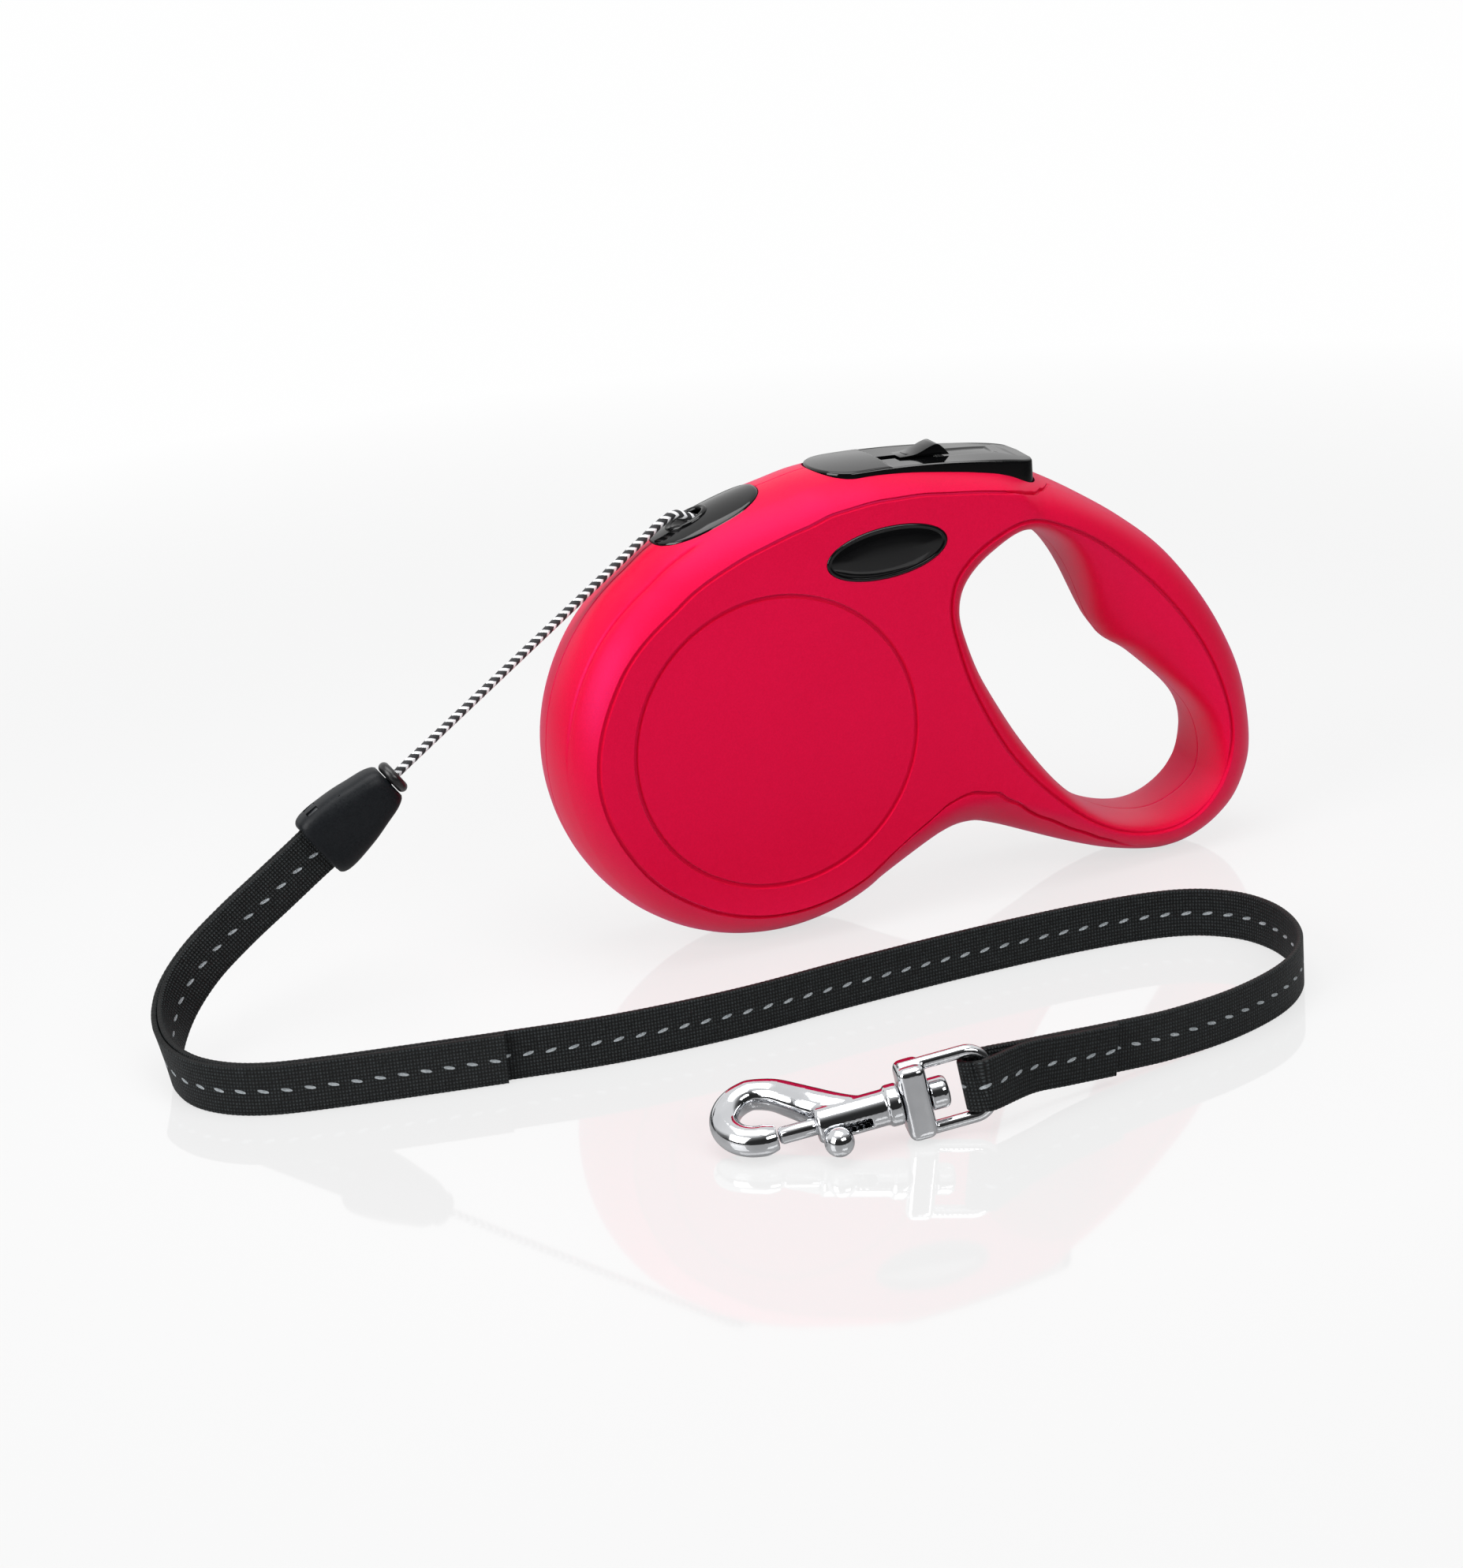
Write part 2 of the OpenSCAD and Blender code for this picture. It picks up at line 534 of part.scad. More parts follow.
// Spiral ribbon from the axle to the drum wall
ribbon_steps = 18;
ribbon_r0 = axle_r + 0.15 + ribbon_t / 2;
ribbon_r1 = drum_in - 0.15 - ribbon_t / 2;
module mainspring() color("slategray") in_housing() tube_solid([for (i = [0:ribbon_turns * ribbon_steps])
    let (a = 360 * i / ribbon_steps, r = lerp(ribbon_r0, ribbon_r1, i / (ribbon_turns * ribbon_steps)))
    [for (c = [[-1, -1], [-1, 1], [1, 1], [1, -1]])
        lift(polar(r + c[0] * ribbon_t / 2, a), c[1] * ribbon_w / 2)]]);

module wound_cord() color("white") in_housing() at_reel() rotate_extrude()
    translate([drum_r, -drum_w / 2]) square([wound_r - drum_r, drum_w]);

// Hollow under the button's roof
module button_pocket() polygon(concat([on_top(-2, -roof_t), on_top(pocket_run, -roof_t)],
    [for (p = [[70, 101.2], [70, 90], [32, 90]]) hp(p)]));

// Thumb lever: crowned top with a sunk bed, skirts, ribs and pockets under the roof, a lug at the pivot
module brake_button() color("black") in_housing() difference() {
    intersection() {
        linear_extrude(height = tall) button_plan(0);
        slab(-button_half, button_half) polygon([for (p = side_knots) hp(p)]);
        translate(lift(crown_at - [0, crown_r], 0)) crown_disc(crown_r, crown_rim_r);
    }
    slab(-rib_in, rib_in) button_pocket();
    if (button_half - skirt_t > rib_out + 0.3) for (s = [0, 1]) mirror([0, s, 0])
        slab(rib_out, button_half - skirt_t) button_pocket();
    slab(-bed_half, bed_half) polygon(concat([on_top(bed_run, 5), on_top(bed_from, 5), on_top(bed_from, 0),
        on_top(pocket_run, 0)], [on_top(bed_run, -1)]));
    for (s = [-1, 1]) mirror([0, s > 0 ? 0 : 1, 0])
        slab(lug_half, button_half + past) polygon([hp([10, 90]), hp([10, 103.6]), hp([29, 103.6]), hp([29, 90])]);
    along_y(pivot, pivot_r + run, -button_half, button_half);
    slab(-slider_neck - loose, slider_neck + loose) polygon([on_top(slot_from, past), on_top(slot_to, past),
        on_top(slot_to, -2 * roof_t), on_top(slot_from, -2 * roof_t)]);
    pawl_tongue();
}

module button_pin() color("silver") in_housing() along_y(pivot, pivot_r, -inner_half + 2, inner_half - 2);

// Torsion spring round the pivot pin, one leg under the button and one on the shell's roof
spring_wire_r = 0.35;
spring_coil_r = pivot_r + 0.45 + spring_wire_r;
spring_turns = 2.25;
spring_y = lug_half + 0.8;
spring_pitch = 0.85;
coil_steps = 12;
coil_start = 250;
spring_path = concat(
    [lift(pivot + spring_coil_r * [cos(coil_start), sin(coil_start)]
        + 4.5 * [sin(coil_start), -cos(coil_start)], spring_y)],
    [for (i = [0:spring_turns * coil_steps]) let (a = coil_start + 360 * i / coil_steps)
        lift(pivot + spring_coil_r * [cos(a), sin(a)], spring_y + spring_pitch * i / coil_steps)],
    [let (a = coil_start + 360 * spring_turns) lift(pivot + spring_coil_r * [cos(a), sin(a)]
        + 4 * [-sin(a), cos(a)], spring_y + spring_pitch * spring_turns)]);
module button_spring() color("silver") in_housing()
    tube_solid(cord_rings(spring_path, spring_wire_r, 6, [0, 1, 0]));

// Brake pawl: a steel prong with a tongue that is pressed into the button's skirt
module pawl_tongue() slab(pawl_y, pawl_y + pawl_t) polygon([[tongue_x[0], pawl_top[0][1] - 1],
    [tongue_x[1], pawl_top[0][1] - 1], [tongue_x[1], pawl_top[0][1] + tongue_up],
    [tongue_x[0], pawl_top[0][1] + tongue_up]]);
module brake_pawl() color("lightsteelblue") in_housing() {
    slab(pawl_y, pawl_y + pawl_t) polygon([pawl_top[0], [tongue_x[0], pawl_top[0][1] - 0.1],
        [tongue_x[0], pawl_top[0][1] + tongue_up], [tongue_x[1], pawl_top[0][1] + tongue_up],
        [tongue_x[1], pawl_top[1][1]], pawl_top[1], hp(pawl_neck[0]), polar(flange_r + 7.8, 33),
        polar(flange_r + 1.3, 29), polar(flange_r + 0.5, 32), polar(flange_r + 4.4, 38), hp(pawl_neck[1])]);
}

// Lock slider: a fin on top, a neck through the slot and a foot under the roof
slider_back = 6;
slider_l = 12.6;
slider_neck = 1.6;
slider_foot = 3;
slot_from = slider_back - lock_travel - 0.5;
bed_from = slot_from - 0.3;
bed_run = 33;
slot_to = slider_back + slider_l - 3;
module lock_slider() color("black") in_housing() {
    slab(-slider_w / 2, slider_w / 2) polygon([on_top(slider_back, 0.25), on_top(slider_back + 4, 0.8),
        on_top(slider_back + 7.8, 2.5), on_top(slider_back + 9.6, 2.9), on_top(slider_back + 10.8, 2.1),
        on_top(slider_back + slider_l, 0.25)]);
    slab(-slider_neck, slider_neck) polygon([on_top(slider_back + 2, 0.5), on_top(slider_back + slider_l - 3.5, 0.5),
        on_top(slider_back + slider_l - 3.5, -roof_t - 0.6), on_top(slider_back + 2, -roof_t - 0.6)]);
    slab(-slider_foot, slider_foot) polygon([on_top(slider_back, -roof_t - 0.25),
        on_top(slider_back + slider_l - 3.5, -roof_t - 0.25), on_top(slider_back + slider_l - 3.5, -roof_t - 1.5),
        on_top(slider_back, -roof_t - 1.5)]);
}

module free_cord() color("whitesmoke") in_housing() tube_solid(cord_rings(cord_path, cord_r, 8, [0, 1, 0]));

module bumper_ring() color("black") in_housing() in_connector() translate([-bumper_t / 2 - seat, 0, 0])
    rotate([0, 90, 0]) rotate_extrude() translate([bumper_r - bumper_t / 2, 0]) circle(bumper_t / 2);

// Connector outlines: width and thickness along its length, as shares of the full sizes
conn_wide = [[0, 0.5], [0.03, 0.58], [0.12, 0.68], [0.45, 0.88], [0.75, 0.99], [0.9, 1], [0.96, 0.95], [1, 0.82]];
conn_thick = [[0, 0.62], [0.05, 0.78], [0.14, 0.9], [0.5, 1], [0.85, 0.98], [0.95, 0.9], [1, 0.74]];
function both_sides(p, w) = concat([for (q = p) [q[0] * conn_l, q[1] * w / 2]],
    [for (i = [len(p) - 1:-1:0]) [p[i][0] * conn_l, -p[i][1] * w / 2]]);
module connector_shell() color("black") in_housing() in_connector() difference() {
    intersection() {
        slab(-conn_t, conn_t) polygon(both_sides(conn_wide, conn_w));
        linear_extrude(2 * conn_w, center = true) polygon(both_sides(conn_thick, conn_t));
    }
    translate([pocket_u, -pocket_half_t, -pocket_half_w]) cube([conn_l, 2 * pocket_half_t, 2 * pocket_half_w]);
    translate([-past, 0, 0]) rotate([0, 90, 0]) cylinder(r = cord_r + 0.25, h = conn_l);
    for (s = [-1, 1]) translate([window_u - window_l / 2, s * window_y - window_t / 2, 0])
        cube([window_l, window_t, conn_w]);
}

// Connector core: a fork that holds the strap's pin, a socket for the cord and two snap tongues
module connector_insert() color("dimgray") in_housing() in_connector() difference() {
    union() {
        translate([pocket_u + seat, seat - pocket_half_t, seat - pocket_half_w])
            cube([conn_l - pocket_u - 2, 2 * (pocket_half_t - seat), 2 * (pocket_half_w - seat)]);
        for (s = [-1, 1]) translate([window_u - window_l / 2 + seat, s * window_y - window_t / 2 + seat, 0])
            cube([window_l - 2 * seat, window_t - 2 * seat, pocket_half_w + 0.9]);
    }
    translate([strap_pin_u - pin_fold_r - 1.2, -conn_t, -strap_half - 0.2])
        cube([conn_l, 2 * conn_t, strap_w + 0.4]);
    rotate([0, 90, 0]) cylinder(r = cord_r + run, h = cord_end - conn_at + seat);
    translate([strap_pin_u, 0, -conn_w]) cylinder(r = strap_pin_r, h = 2 * conn_w);
}

module strap_pin() color("silver") in_housing() in_connector() translate([strap_pin_u, 0, seat - pocket_half_w])
    cylinder(r = strap_pin_r, h = 2 * (pocket_half_w - seat));

module webbing() color("black") in_housing() tube_solid([for (i = [0:len(strap_path) - 1]) strap_ring(i)]);

// Swivel eye: a block that turns on the hook's stem, two side wires and a bar for the strap
module swivel_eye() color("silver") in_housing() in_eye() difference() {
    union() {
        translate([-block_l / 2, -block_w / 2, -block_half_h]) cube([block_l, block_w, 2 * block_half_h]);
        for (s = [0, 1]) mirror([0, 0, s]) eye_side();
        translate([-eye_l, 0, eye_bend_r - eye_half_h + eye_wire_r])
            cylinder(r = eye_wire_r, h = 2 * (eye_half_h - eye_wire_r - eye_bend_r));
    }
    rotate([0, 90, 0]) cylinder(r = stem_r + run, h = 2 * block_l, center = true);
}
module eye_side() {
    z = eye_half_h - eye_wire_r;
    translate([eye_bend_r - eye_l, 0, z]) rotate([0, 90, 0]) cylinder(r = eye_wire_r, h = eye_l - eye_bend_r);
    sphere_at([0, 0, z], eye_wire_r);
    translate([eye_bend_r - eye_l, 0, z - eye_bend_r]) rotate([90, 0, 0]) rotate_extrude(angle = 90, start = 90)
        translate([eye_bend_r, 0]) circle(eye_wire_r);
}
module sphere_at(p, r) translate(p) sphere(r);

// Hook: riveted stem, collar, bored shank with a slot for the knob, and the ring that ends at the bolt
near_deg = -128;
near_end = [ring_far_u + ring_r * cos(near_deg), ring_r * sin(near_deg) - ring_r, 0];
module along_u(from, to, r, v) translate([from, v, 0]) rotate([0, 90, 0]) cylinder(r = r, h = to - from);
neck_l = 18.5;
hook_arcs = 22;
// Middle line of the hook's ring: straight out of the shank, round the bend, and back to the tip
function ring_point(u, a) = [u + ring_r * cos(a), ring_r * sin(a) - ring_r, 0];
hook_line = concat([near_end + neck_l * [cos(near_deg - 90), sin(near_deg - 90), 0]],
    [for (a = [near_deg:(90 - near_deg) / hook_arcs:90]) ring_point(ring_far_u, a)], [[ring_tip_u, 0, 0]]);
module hook_body() color("silver") in_housing() in_hook() difference() {
    union() {
        along_u(-block_l / 2 - run - rivet_l, -block_l / 2 - run, rivet_r, 0);
        along_u(-block_l / 2 - rivet_l / 2, shank_from, stem_r, 0);
        along_u(block_l / 2 + run, shank_from, collar_r, 0);
        along_u(shank_from - 0.5, shank_to, shank_r, 0);
        tube_solid(cord_rings(hook_line, ring_wire_r, 16, [0, 0, 1]));
    }
    along_u(bore_from, shank_to + past, bolt_r + run, 0);
    translate([knob_u - bolt_travel - knob_neck_r - 0.3, 0, -knob_neck_r - 0.15])
        cube([bolt_travel + 2 * knob_neck_r + 0.6, 3 * shank_r, 2 * knob_neck_r + 0.3]);
}

module hook_bolt() color("silver") in_housing() in_hook() rotate([0, 90, 0]) translate([0, 0, bolt_back])
    cylinder(r = bolt_r, h = bolt_tip - bolt_back);

module bolt_knob() color("silver") in_housing() in_hook() translate([knob_u, 0, 0]) {
    rotate([-90, 0, 0]) translate([0, 0, bolt_r]) cylinder(r = knob_neck_r, h = shank_r + 1 - bolt_r);
    intersection() {
        translate([0, shank_r + 0.4 + knob_r * 0.7, 0]) sphere(knob_r);
        translate([-knob_r, shank_r + 0.4, -knob_r]) cube([2 * knob_r, 2 * knob_r, 2 * knob_r]);
    }
}

// Coil spring between the bore's end and the bolt
coil_turns = 6;
coil_wire_r = 0.25;
coil_r = bolt_r - coil_wire_r - 0.1;
coil_from = bore_from + coil_wire_r + run;
coil_to = bolt_back - coil_wire_r - run;
module bolt_spring() color("silver") in_housing() in_hook() tube_solid(cord_rings(
    [for (i = [0:coil_turns * 8]) let (a = 45 * i)
        [lerp(coil_from, coil_to, i / (coil_turns * 8)), coil_r * cos(a), coil_r * sin(a)]],
    coil_wire_r, 6, [1, 0, 0]));

front_shell();
rear_shell();
shell_screws();
badge();
cord_guide();
spool_axle();
spool();
spring_cover();
mainspring();
wound_cord();
brake_button();
button_pin();
button_spring();
brake_pawl();
lock_slider();
free_cord();
bumper_ring();
connector_shell();
connector_insert();
strap_pin();
webbing();
swivel_eye();
hook_body();
hook_bolt();
bolt_knob();
bolt_spring();
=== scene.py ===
# Retractable dog leash: the looks of a moulded reel housing with a loop grip, its braided cord,
# a woven strap and a chromed bolt snap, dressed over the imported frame.
import math
import bmesh
import bpy
from mathutils import Matrix, Vector


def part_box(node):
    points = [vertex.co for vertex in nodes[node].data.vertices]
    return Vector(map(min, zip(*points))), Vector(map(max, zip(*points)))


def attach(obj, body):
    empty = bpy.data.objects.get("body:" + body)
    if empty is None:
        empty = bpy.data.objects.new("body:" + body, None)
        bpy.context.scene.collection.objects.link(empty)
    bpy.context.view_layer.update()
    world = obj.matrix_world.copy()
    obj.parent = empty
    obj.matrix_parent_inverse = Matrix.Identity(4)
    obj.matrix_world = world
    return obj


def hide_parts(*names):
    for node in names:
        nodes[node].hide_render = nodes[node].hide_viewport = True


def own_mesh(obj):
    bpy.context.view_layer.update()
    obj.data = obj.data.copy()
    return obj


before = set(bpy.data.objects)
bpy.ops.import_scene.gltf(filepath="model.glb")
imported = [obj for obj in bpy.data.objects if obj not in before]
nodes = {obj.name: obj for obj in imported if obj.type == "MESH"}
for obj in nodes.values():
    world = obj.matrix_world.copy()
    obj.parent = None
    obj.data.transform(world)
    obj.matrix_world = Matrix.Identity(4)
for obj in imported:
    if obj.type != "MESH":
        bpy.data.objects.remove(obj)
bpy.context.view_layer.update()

# Camera: stands low in front of the cord side and looks down a little on the leash.
# Its place, turn and lens come from the reel's circle and the floor line in the photograph.
camera_at = Vector((-0.3086, -0.7428, 0.3099))
look = Vector((0.3159, 0.8904, -0.3277)).normalized()
camera_right = Vector((0.9306, -0.3581, -0.0758))
camera_right = (camera_right - look * camera_right.dot(look)).normalized()
camera_up = camera_right.cross(look)
camera = bpy.data.objects.new("Camera", bpy.data.cameras.new("Camera"))
camera.data.lens = 81.58
camera.data.sensor_width = 36
camera.data.sensor_fit = "AUTO"
camera.data.clip_end = 20
camera.matrix_world = Matrix.Translation(camera_at) @ Matrix(
    (camera_right, camera_up, -look)).transposed().to_4x4()
bpy.context.collection.objects.link(camera)
bpy.context.scene.camera = camera

# Braided cord: a 2 mm cord of black and white strands, plaited over a core, that leaves the outlet
# and runs straight to the connector, where its end is knotted into the core.
REEL_X = 39


def at(x, y, z):
    """A point of the housing, in millimetres from the reel's middle line, in the shared frame."""
    return Vector((x - REEL_X, y, z)) / 1000


def between(a, b, c, d, t):
    return 0.5 * (2 * b + (c - a) * t + (2 * a - 5 * b + 4 * c - d) * t * t
                  + (3 * b - a - 3 * c + d) * t ** 3)


def flowing(points, steps, closed=False):
    """A smooth line through the points, with that many steps from each to the next."""
    n, line = len(points), []
    for i in range(n if closed else n - 1):
        four = [points[k % n] if closed else points[min(max(k, 0), n - 1)] for k in range(i - 1, i + 3)]
        line += [between(*four, j / steps) for j in range(steps)]
    return line if closed else line + [points[-1]]


def skin(bm, rings, closed=True):
    """Draws the first ring of points and extrudes it from ring to ring."""
    row = [bm.verts.new(p) for p in rings[0]]
    n = len(row)
    pairs = range(n if closed else n - 1)
    edges = [bm.edges.new((row[k], row[(k + 1) % n])) for k in pairs]
    rows = [row]
    for ring in rings[1:]:
        made = bmesh.ops.extrude_edge_only(bm, edges=edges)["geom"]
        fresh = {v for v in made if isinstance(v, bmesh.types.BMVert)}
        row = []
        for v, p in zip(rows[-1], ring):
            new = next(e.other_vert(v) for e in v.link_edges if e.other_vert(v) in fresh)
            new.co = p
            row.append(new)
        edges = [bm.edges.get((row[k], row[(k + 1) % n])) for k in pairs]
        rows.append(row)
    return rows


def cap(bm, row):
    edges = [bm.edges.get((row[k], row[(k + 1) % len(row)])) for k in range(len(row))]
    bmesh.ops.edgeloop_fill(bm, edges=edges)


def wrap(bm, rows, along, around):
    """Writes the UV map: the place along the piece and round it, for each ring and each point."""
    uv = bm.loops.layers.uv.new("UVMap")
    n = len(rows[0])
    place = {v: (i, k) for i, row in enumerate(rows) for k, v in enumerate(row)}
    for face in bm.faces:
        ks = [place[loop.vert][1] for loop in face.loops]
        seam = max(ks) - min(ks) > n / 2
        for loop in face.loops:
            i, k = place[loop.vert]
            loop[uv].uv = (along[i], around[n if seam and k == 0 else k])


def piece(name, bm, body, slot, material, *stands_for, sharp=35):
    """A mesh finished as a named piece: normals out, smooth but for its sharp edges, riding on its body."""
    mesh = bpy.data.meshes.new(name)
    bmesh.ops.recalc_face_normals(bm, faces=bm.faces)
    for face in bm.faces:
        face.smooth = True
    # the operators leave points and faces in an order that changes from run to run
    for parts, middle in ((bm.verts, lambda v: v.co), (bm.faces, lambda f: f.calc_center_median())):
        rank = {part: k for k, part in enumerate(sorted(parts, key=lambda p: tuple(middle(p))))}
        parts.sort(key=rank.get)
    bm.to_mesh(mesh)
    bm.free()
    mesh.set_sharp_from_angle(angle=math.radians(sharp))
    obj = bpy.data.objects.new(name, mesh)
    bpy.context.collection.objects.link(obj)
    obj.data.materials.append(material)
    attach(obj, body)
    if stands_for:
        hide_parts(*stands_for)
    return obj


class Finish:
    """A material and the few calls that wire its nodes."""

    def __init__(self, name, **sockets):
        self.material = bpy.data.materials.new(name)
        self.material.use_nodes = True
        self.tree = self.material.node_tree
        self.shader = self.tree.nodes["Principled BSDF"]
        for socket, value in sockets.items():
            self.shader.inputs[socket.replace("_", " ")].default_value = value

    def node(self, kind, **values):
        made = self.tree.nodes.new("ShaderNode" + kind)
        for key, value in values.items():
            if hasattr(made, key):
                setattr(made, key, value)
            else:
                made.inputs[key.replace("_", " ")].default_value = value
        return made

    def join(self, out, into):
        self.tree.links.new(out, into)

    def sum(self, operation, *values):
        made = self.node("Math", operation=operation)
        for k, value in enumerate(values):
            if isinstance(value, (int, float)):
                made.inputs[k].default_value = value
            else:
                self.join(value, made.inputs[k])
        return made.outputs[0]

    def place(self, source="Object"):
        return self.node("TexCoord").outputs[source]

    def noise(self, scale, detail=2.0, where=None):
        made = self.node("TexNoise", Scale=scale, Detail=detail)
        self.join(where or self.place(), made.inputs["Vector"])
        return made.outputs["Fac"]

    def shades(self, fac, *stops):
        ramp = self.node("ValToRGB")
        ends = ramp.color_ramp.elements
        while len(ends) < len(stops):
            ends.new(0.5)
        for end, (position, colour) in zip(ends, stops):
            end.position, end.color = position, (*colour, 1)
        self.join(fac, ramp.inputs["Fac"])
        return ramp.outputs["Color"]

    def colour(self, fac, *stops):
        self.join(self.shades(fac, *stops), self.shader.inputs["Base Color"])

    def vary(self, socket, fac, low, high):
        made = self.node("MapRange")
        made.inputs["To Min"].default_value, made.inputs["To Max"].default_value = low, high
        self.join(fac, made.inputs["Value"])
        self.join(made.outputs["Result"], self.shader.inputs[socket])

    def bump(self, height, strength, distance):
        made = self.node("Bump", Strength=strength, Distance=distance)
        self.join(height, made.inputs["Height"])
        self.join(made.outputs["Normal"], self.shader.inputs["Normal"])


# the cord's line: from inside the drum's room through the outlet, over its lip and straight to the connector
CORD_D, CORD_SLOPE = 2.0, math.radians(34.9)
cord_bend = Vector((-22, 0, 99.3))
cord_run = Vector((-math.cos(CORD_SLOPE), 0, -math.sin(CORD_SLOPE)))
cord_marks = [Vector((x, 0, z)) for x, z in
              ((16.5, 88.9), (4, 95), (-6, 99.8), (-11.5, 102.45), (-14.7, 103.4), (-18, 102))]
cord_marks += [cord_bend + cord_run * d for d in (0, 20, 40, 60, 91.5)]


def distances(line):
    """How far along the line each of its points lies."""
    far = [0.0]
    for p, q in zip(line, line[1:]):
        far.append(far[-1] + (q - p).length)
    return far


def evenly(line, step):
    """The same line, cut into equal steps, and its length."""
    far = distances(line)
    count, k, out = max(2, round(far[-1] / step)), 0, []
    for j in range(count + 1):
        want = far[-1] * j / count
        while k < len(line) - 2 and far[k + 1] < want:
            k += 1
        out.append(line[k].lerp(line[k + 1], (want - far[k]) / max(far[k + 1] - far[k], 1e-9)))
    return out, far[-1]


def arms(turn):
    """The zigzag that the strands make round the cord: two chevrons, each of two arms."""
    return abs(2 * (2 * turn % 1) - 1)


# a chevron's length, how far its arms reach along the cord, its fibres, and the relief of its strands
CHEVRON, ARM, FIBRES = 2.1, 0.62, 8
STRAND_LOW, STRAND_RISE, STRAND_ROUND = 0.93, 0.11, 0.6
CORD_STEP, SIDES = 0.22, 24
cord_line, cord_length = evenly(flowing(cord_marks, 24), CORD_STEP)
bm = bmesh.new()
rings = []
for i, p in enumerate(cord_line):
    ahead = (cord_line[min(i + 1, len(cord_line) - 1)] - cord_line[max(i - 1, 0)]).normalized()
    side, far = Vector((0, 1, 0)), cord_length * i / (len(cord_line) - 1)
    up = ahead.cross(side)
    ring = []
    for k in range(SIDES):
        turn = k / SIDES
        strand = abs(math.sin(2 * math.pi * (far / CHEVRON + ARM * arms(turn))))
        r = CORD_D / 2 * (STRAND_LOW + STRAND_RISE * strand ** STRAND_ROUND)
        q = p + side * (r * math.cos(2 * math.pi * turn)) + up * (r * math.sin(2 * math.pi * turn))
        ring.append(at(*q))
    rings.append(ring)
rows = skin(bm, rings)
wrap(bm, rows, [cord_length * i / (len(rings) - 1) for i in range(len(rings))],
     [k / SIDES for k in range(SIDES + 1)])
cap(bm, rows[0])
cap(bm, rows[-1])

braid = Finish("black_white_braid", Roughness=0.72, Sheen_Weight=0.15)
split = braid.node("SeparateXYZ")
braid.join(braid.place("UV"), split.inputs[0])
along, turn = split.outputs["X"], split.outputs["Y"]
zigzag = braid.sum("ABSOLUTE", braid.sum("SUBTRACT", braid.sum("MULTIPLY", braid.sum(
    "FRACT", braid.sum("MULTIPLY", turn, 2.0)), 2.0), 1.0))
strands = braid.sum("ADD", braid.sum("DIVIDE", along, CHEVRON), braid.sum("MULTIPLY", zigzag, ARM))
phase = braid.sum("FRACT", strands)
fray = braid.sum("MULTIPLY", braid.sum("SUBTRACT", braid.noise(5000, 3), 0.5), 0.10)
braid.colour(braid.sum("ADD", phase, fray), (0.02, (0.012, 0.012, 0.014)), (0.55, (0.022, 0.022, 0.025)),
             (0.61, (0.80, 0.80, 0.82)), (0.95, (0.92, 0.92, 0.93)), (0.99, (0.05, 0.05, 0.055)))
fibre = braid.sum("SINE", braid.sum("MULTIPLY", strands, 2 * math.pi * FIBRES))
braid.bump(fibre, 0.35, 0.00008)
braided_cord = piece("braided_cord", bm, "housing", "cord_braid", braid.material, "free_cord")

# Strap: 11.5 mm woven black nylon webbing with a grey reflecting thread along its middle. Each end goes
# round a pin and is sewn back on itself, and it stands on its edge on the floor.
STRAP_W, STRAP_T, LAYER, STRAP_STEP, SELVEDGE = 11.5, 1.3, 0.8, 0.6, 0.07
# its course from the connector to the eye: x, y, the rise of its lower edge, and its lean in degrees
strap_marks = [
    (-107, 0, 34.3, 35), (-117, 0, 27.4, 35), (-127, 0, 20.5, 35), (-136, -1, 13.8, 33), (-143, -5, 7.8, 27),
    (-147.5, -13, 3.4, 18), (-149, -23, 1.2, 9), (-147, -33, 0.3, 3), (-141.5, -41, 0.1, 0),
    (-133, -46.5, 0.1, 0), (-120, -50, 0.1, 0), (-102, -53.5, 0.1, 0), (-83, -57, 0.1, 0), (-58, -60, 0.1, 0),
    (-30, -60.5, 0.1, 0), (0, -57.5, 0.1, 0), (30, -55.5, 0.1, 0), (58, -55.5, 0.1, 0), (78, -58.5, 0.1, 0),
    (89, -66, 0.1, 0), (93.5, -77, 0.1, 0), (92.5, -90, 0.1, 0), (87, -101.5, 0.1, 0), (77, -110.5, 0.1, 0),
    (62, -117, 0.1, 0), (45, -120.8, 0.5, 1), (30, -123.8, 1.7, 3), (18, -125.8, 3, 6), (8, -128.2, 4.4, 8)]
strap_mid = [Vector((x, y, STRAP_W / 2 + rise)) for x, y, rise, lean in strap_marks]
strap_up = [Vector((-math.sin(math.radians(lean)), 0, math.cos(math.radians(lean))))
            for x, y, rise, lean in strap_marks]
LAST, TAIL_A, TAIL_B = len(strap_marks) - 1, 12, 26


def layer_at(i, k):
    """A mark of the course, moved to the layer on one side of it or the other."""
    ahead = (strap_mid[min(i + 1, LAST)] - strap_mid[max(i - 1, 0)]).normalized()
    return strap_mid[i] + strap_up[i].cross(ahead).normalized() * (k * LAYER)


def folded(middle, ahead, side, r, reach):
    """The half turn that the strap makes round a pin or bar."""
    return [middle + side * (r * math.cos(a)) + ahead * (reach * math.sin(a))
            for a in (math.radians(d) for d in range(0, 181, 30))]


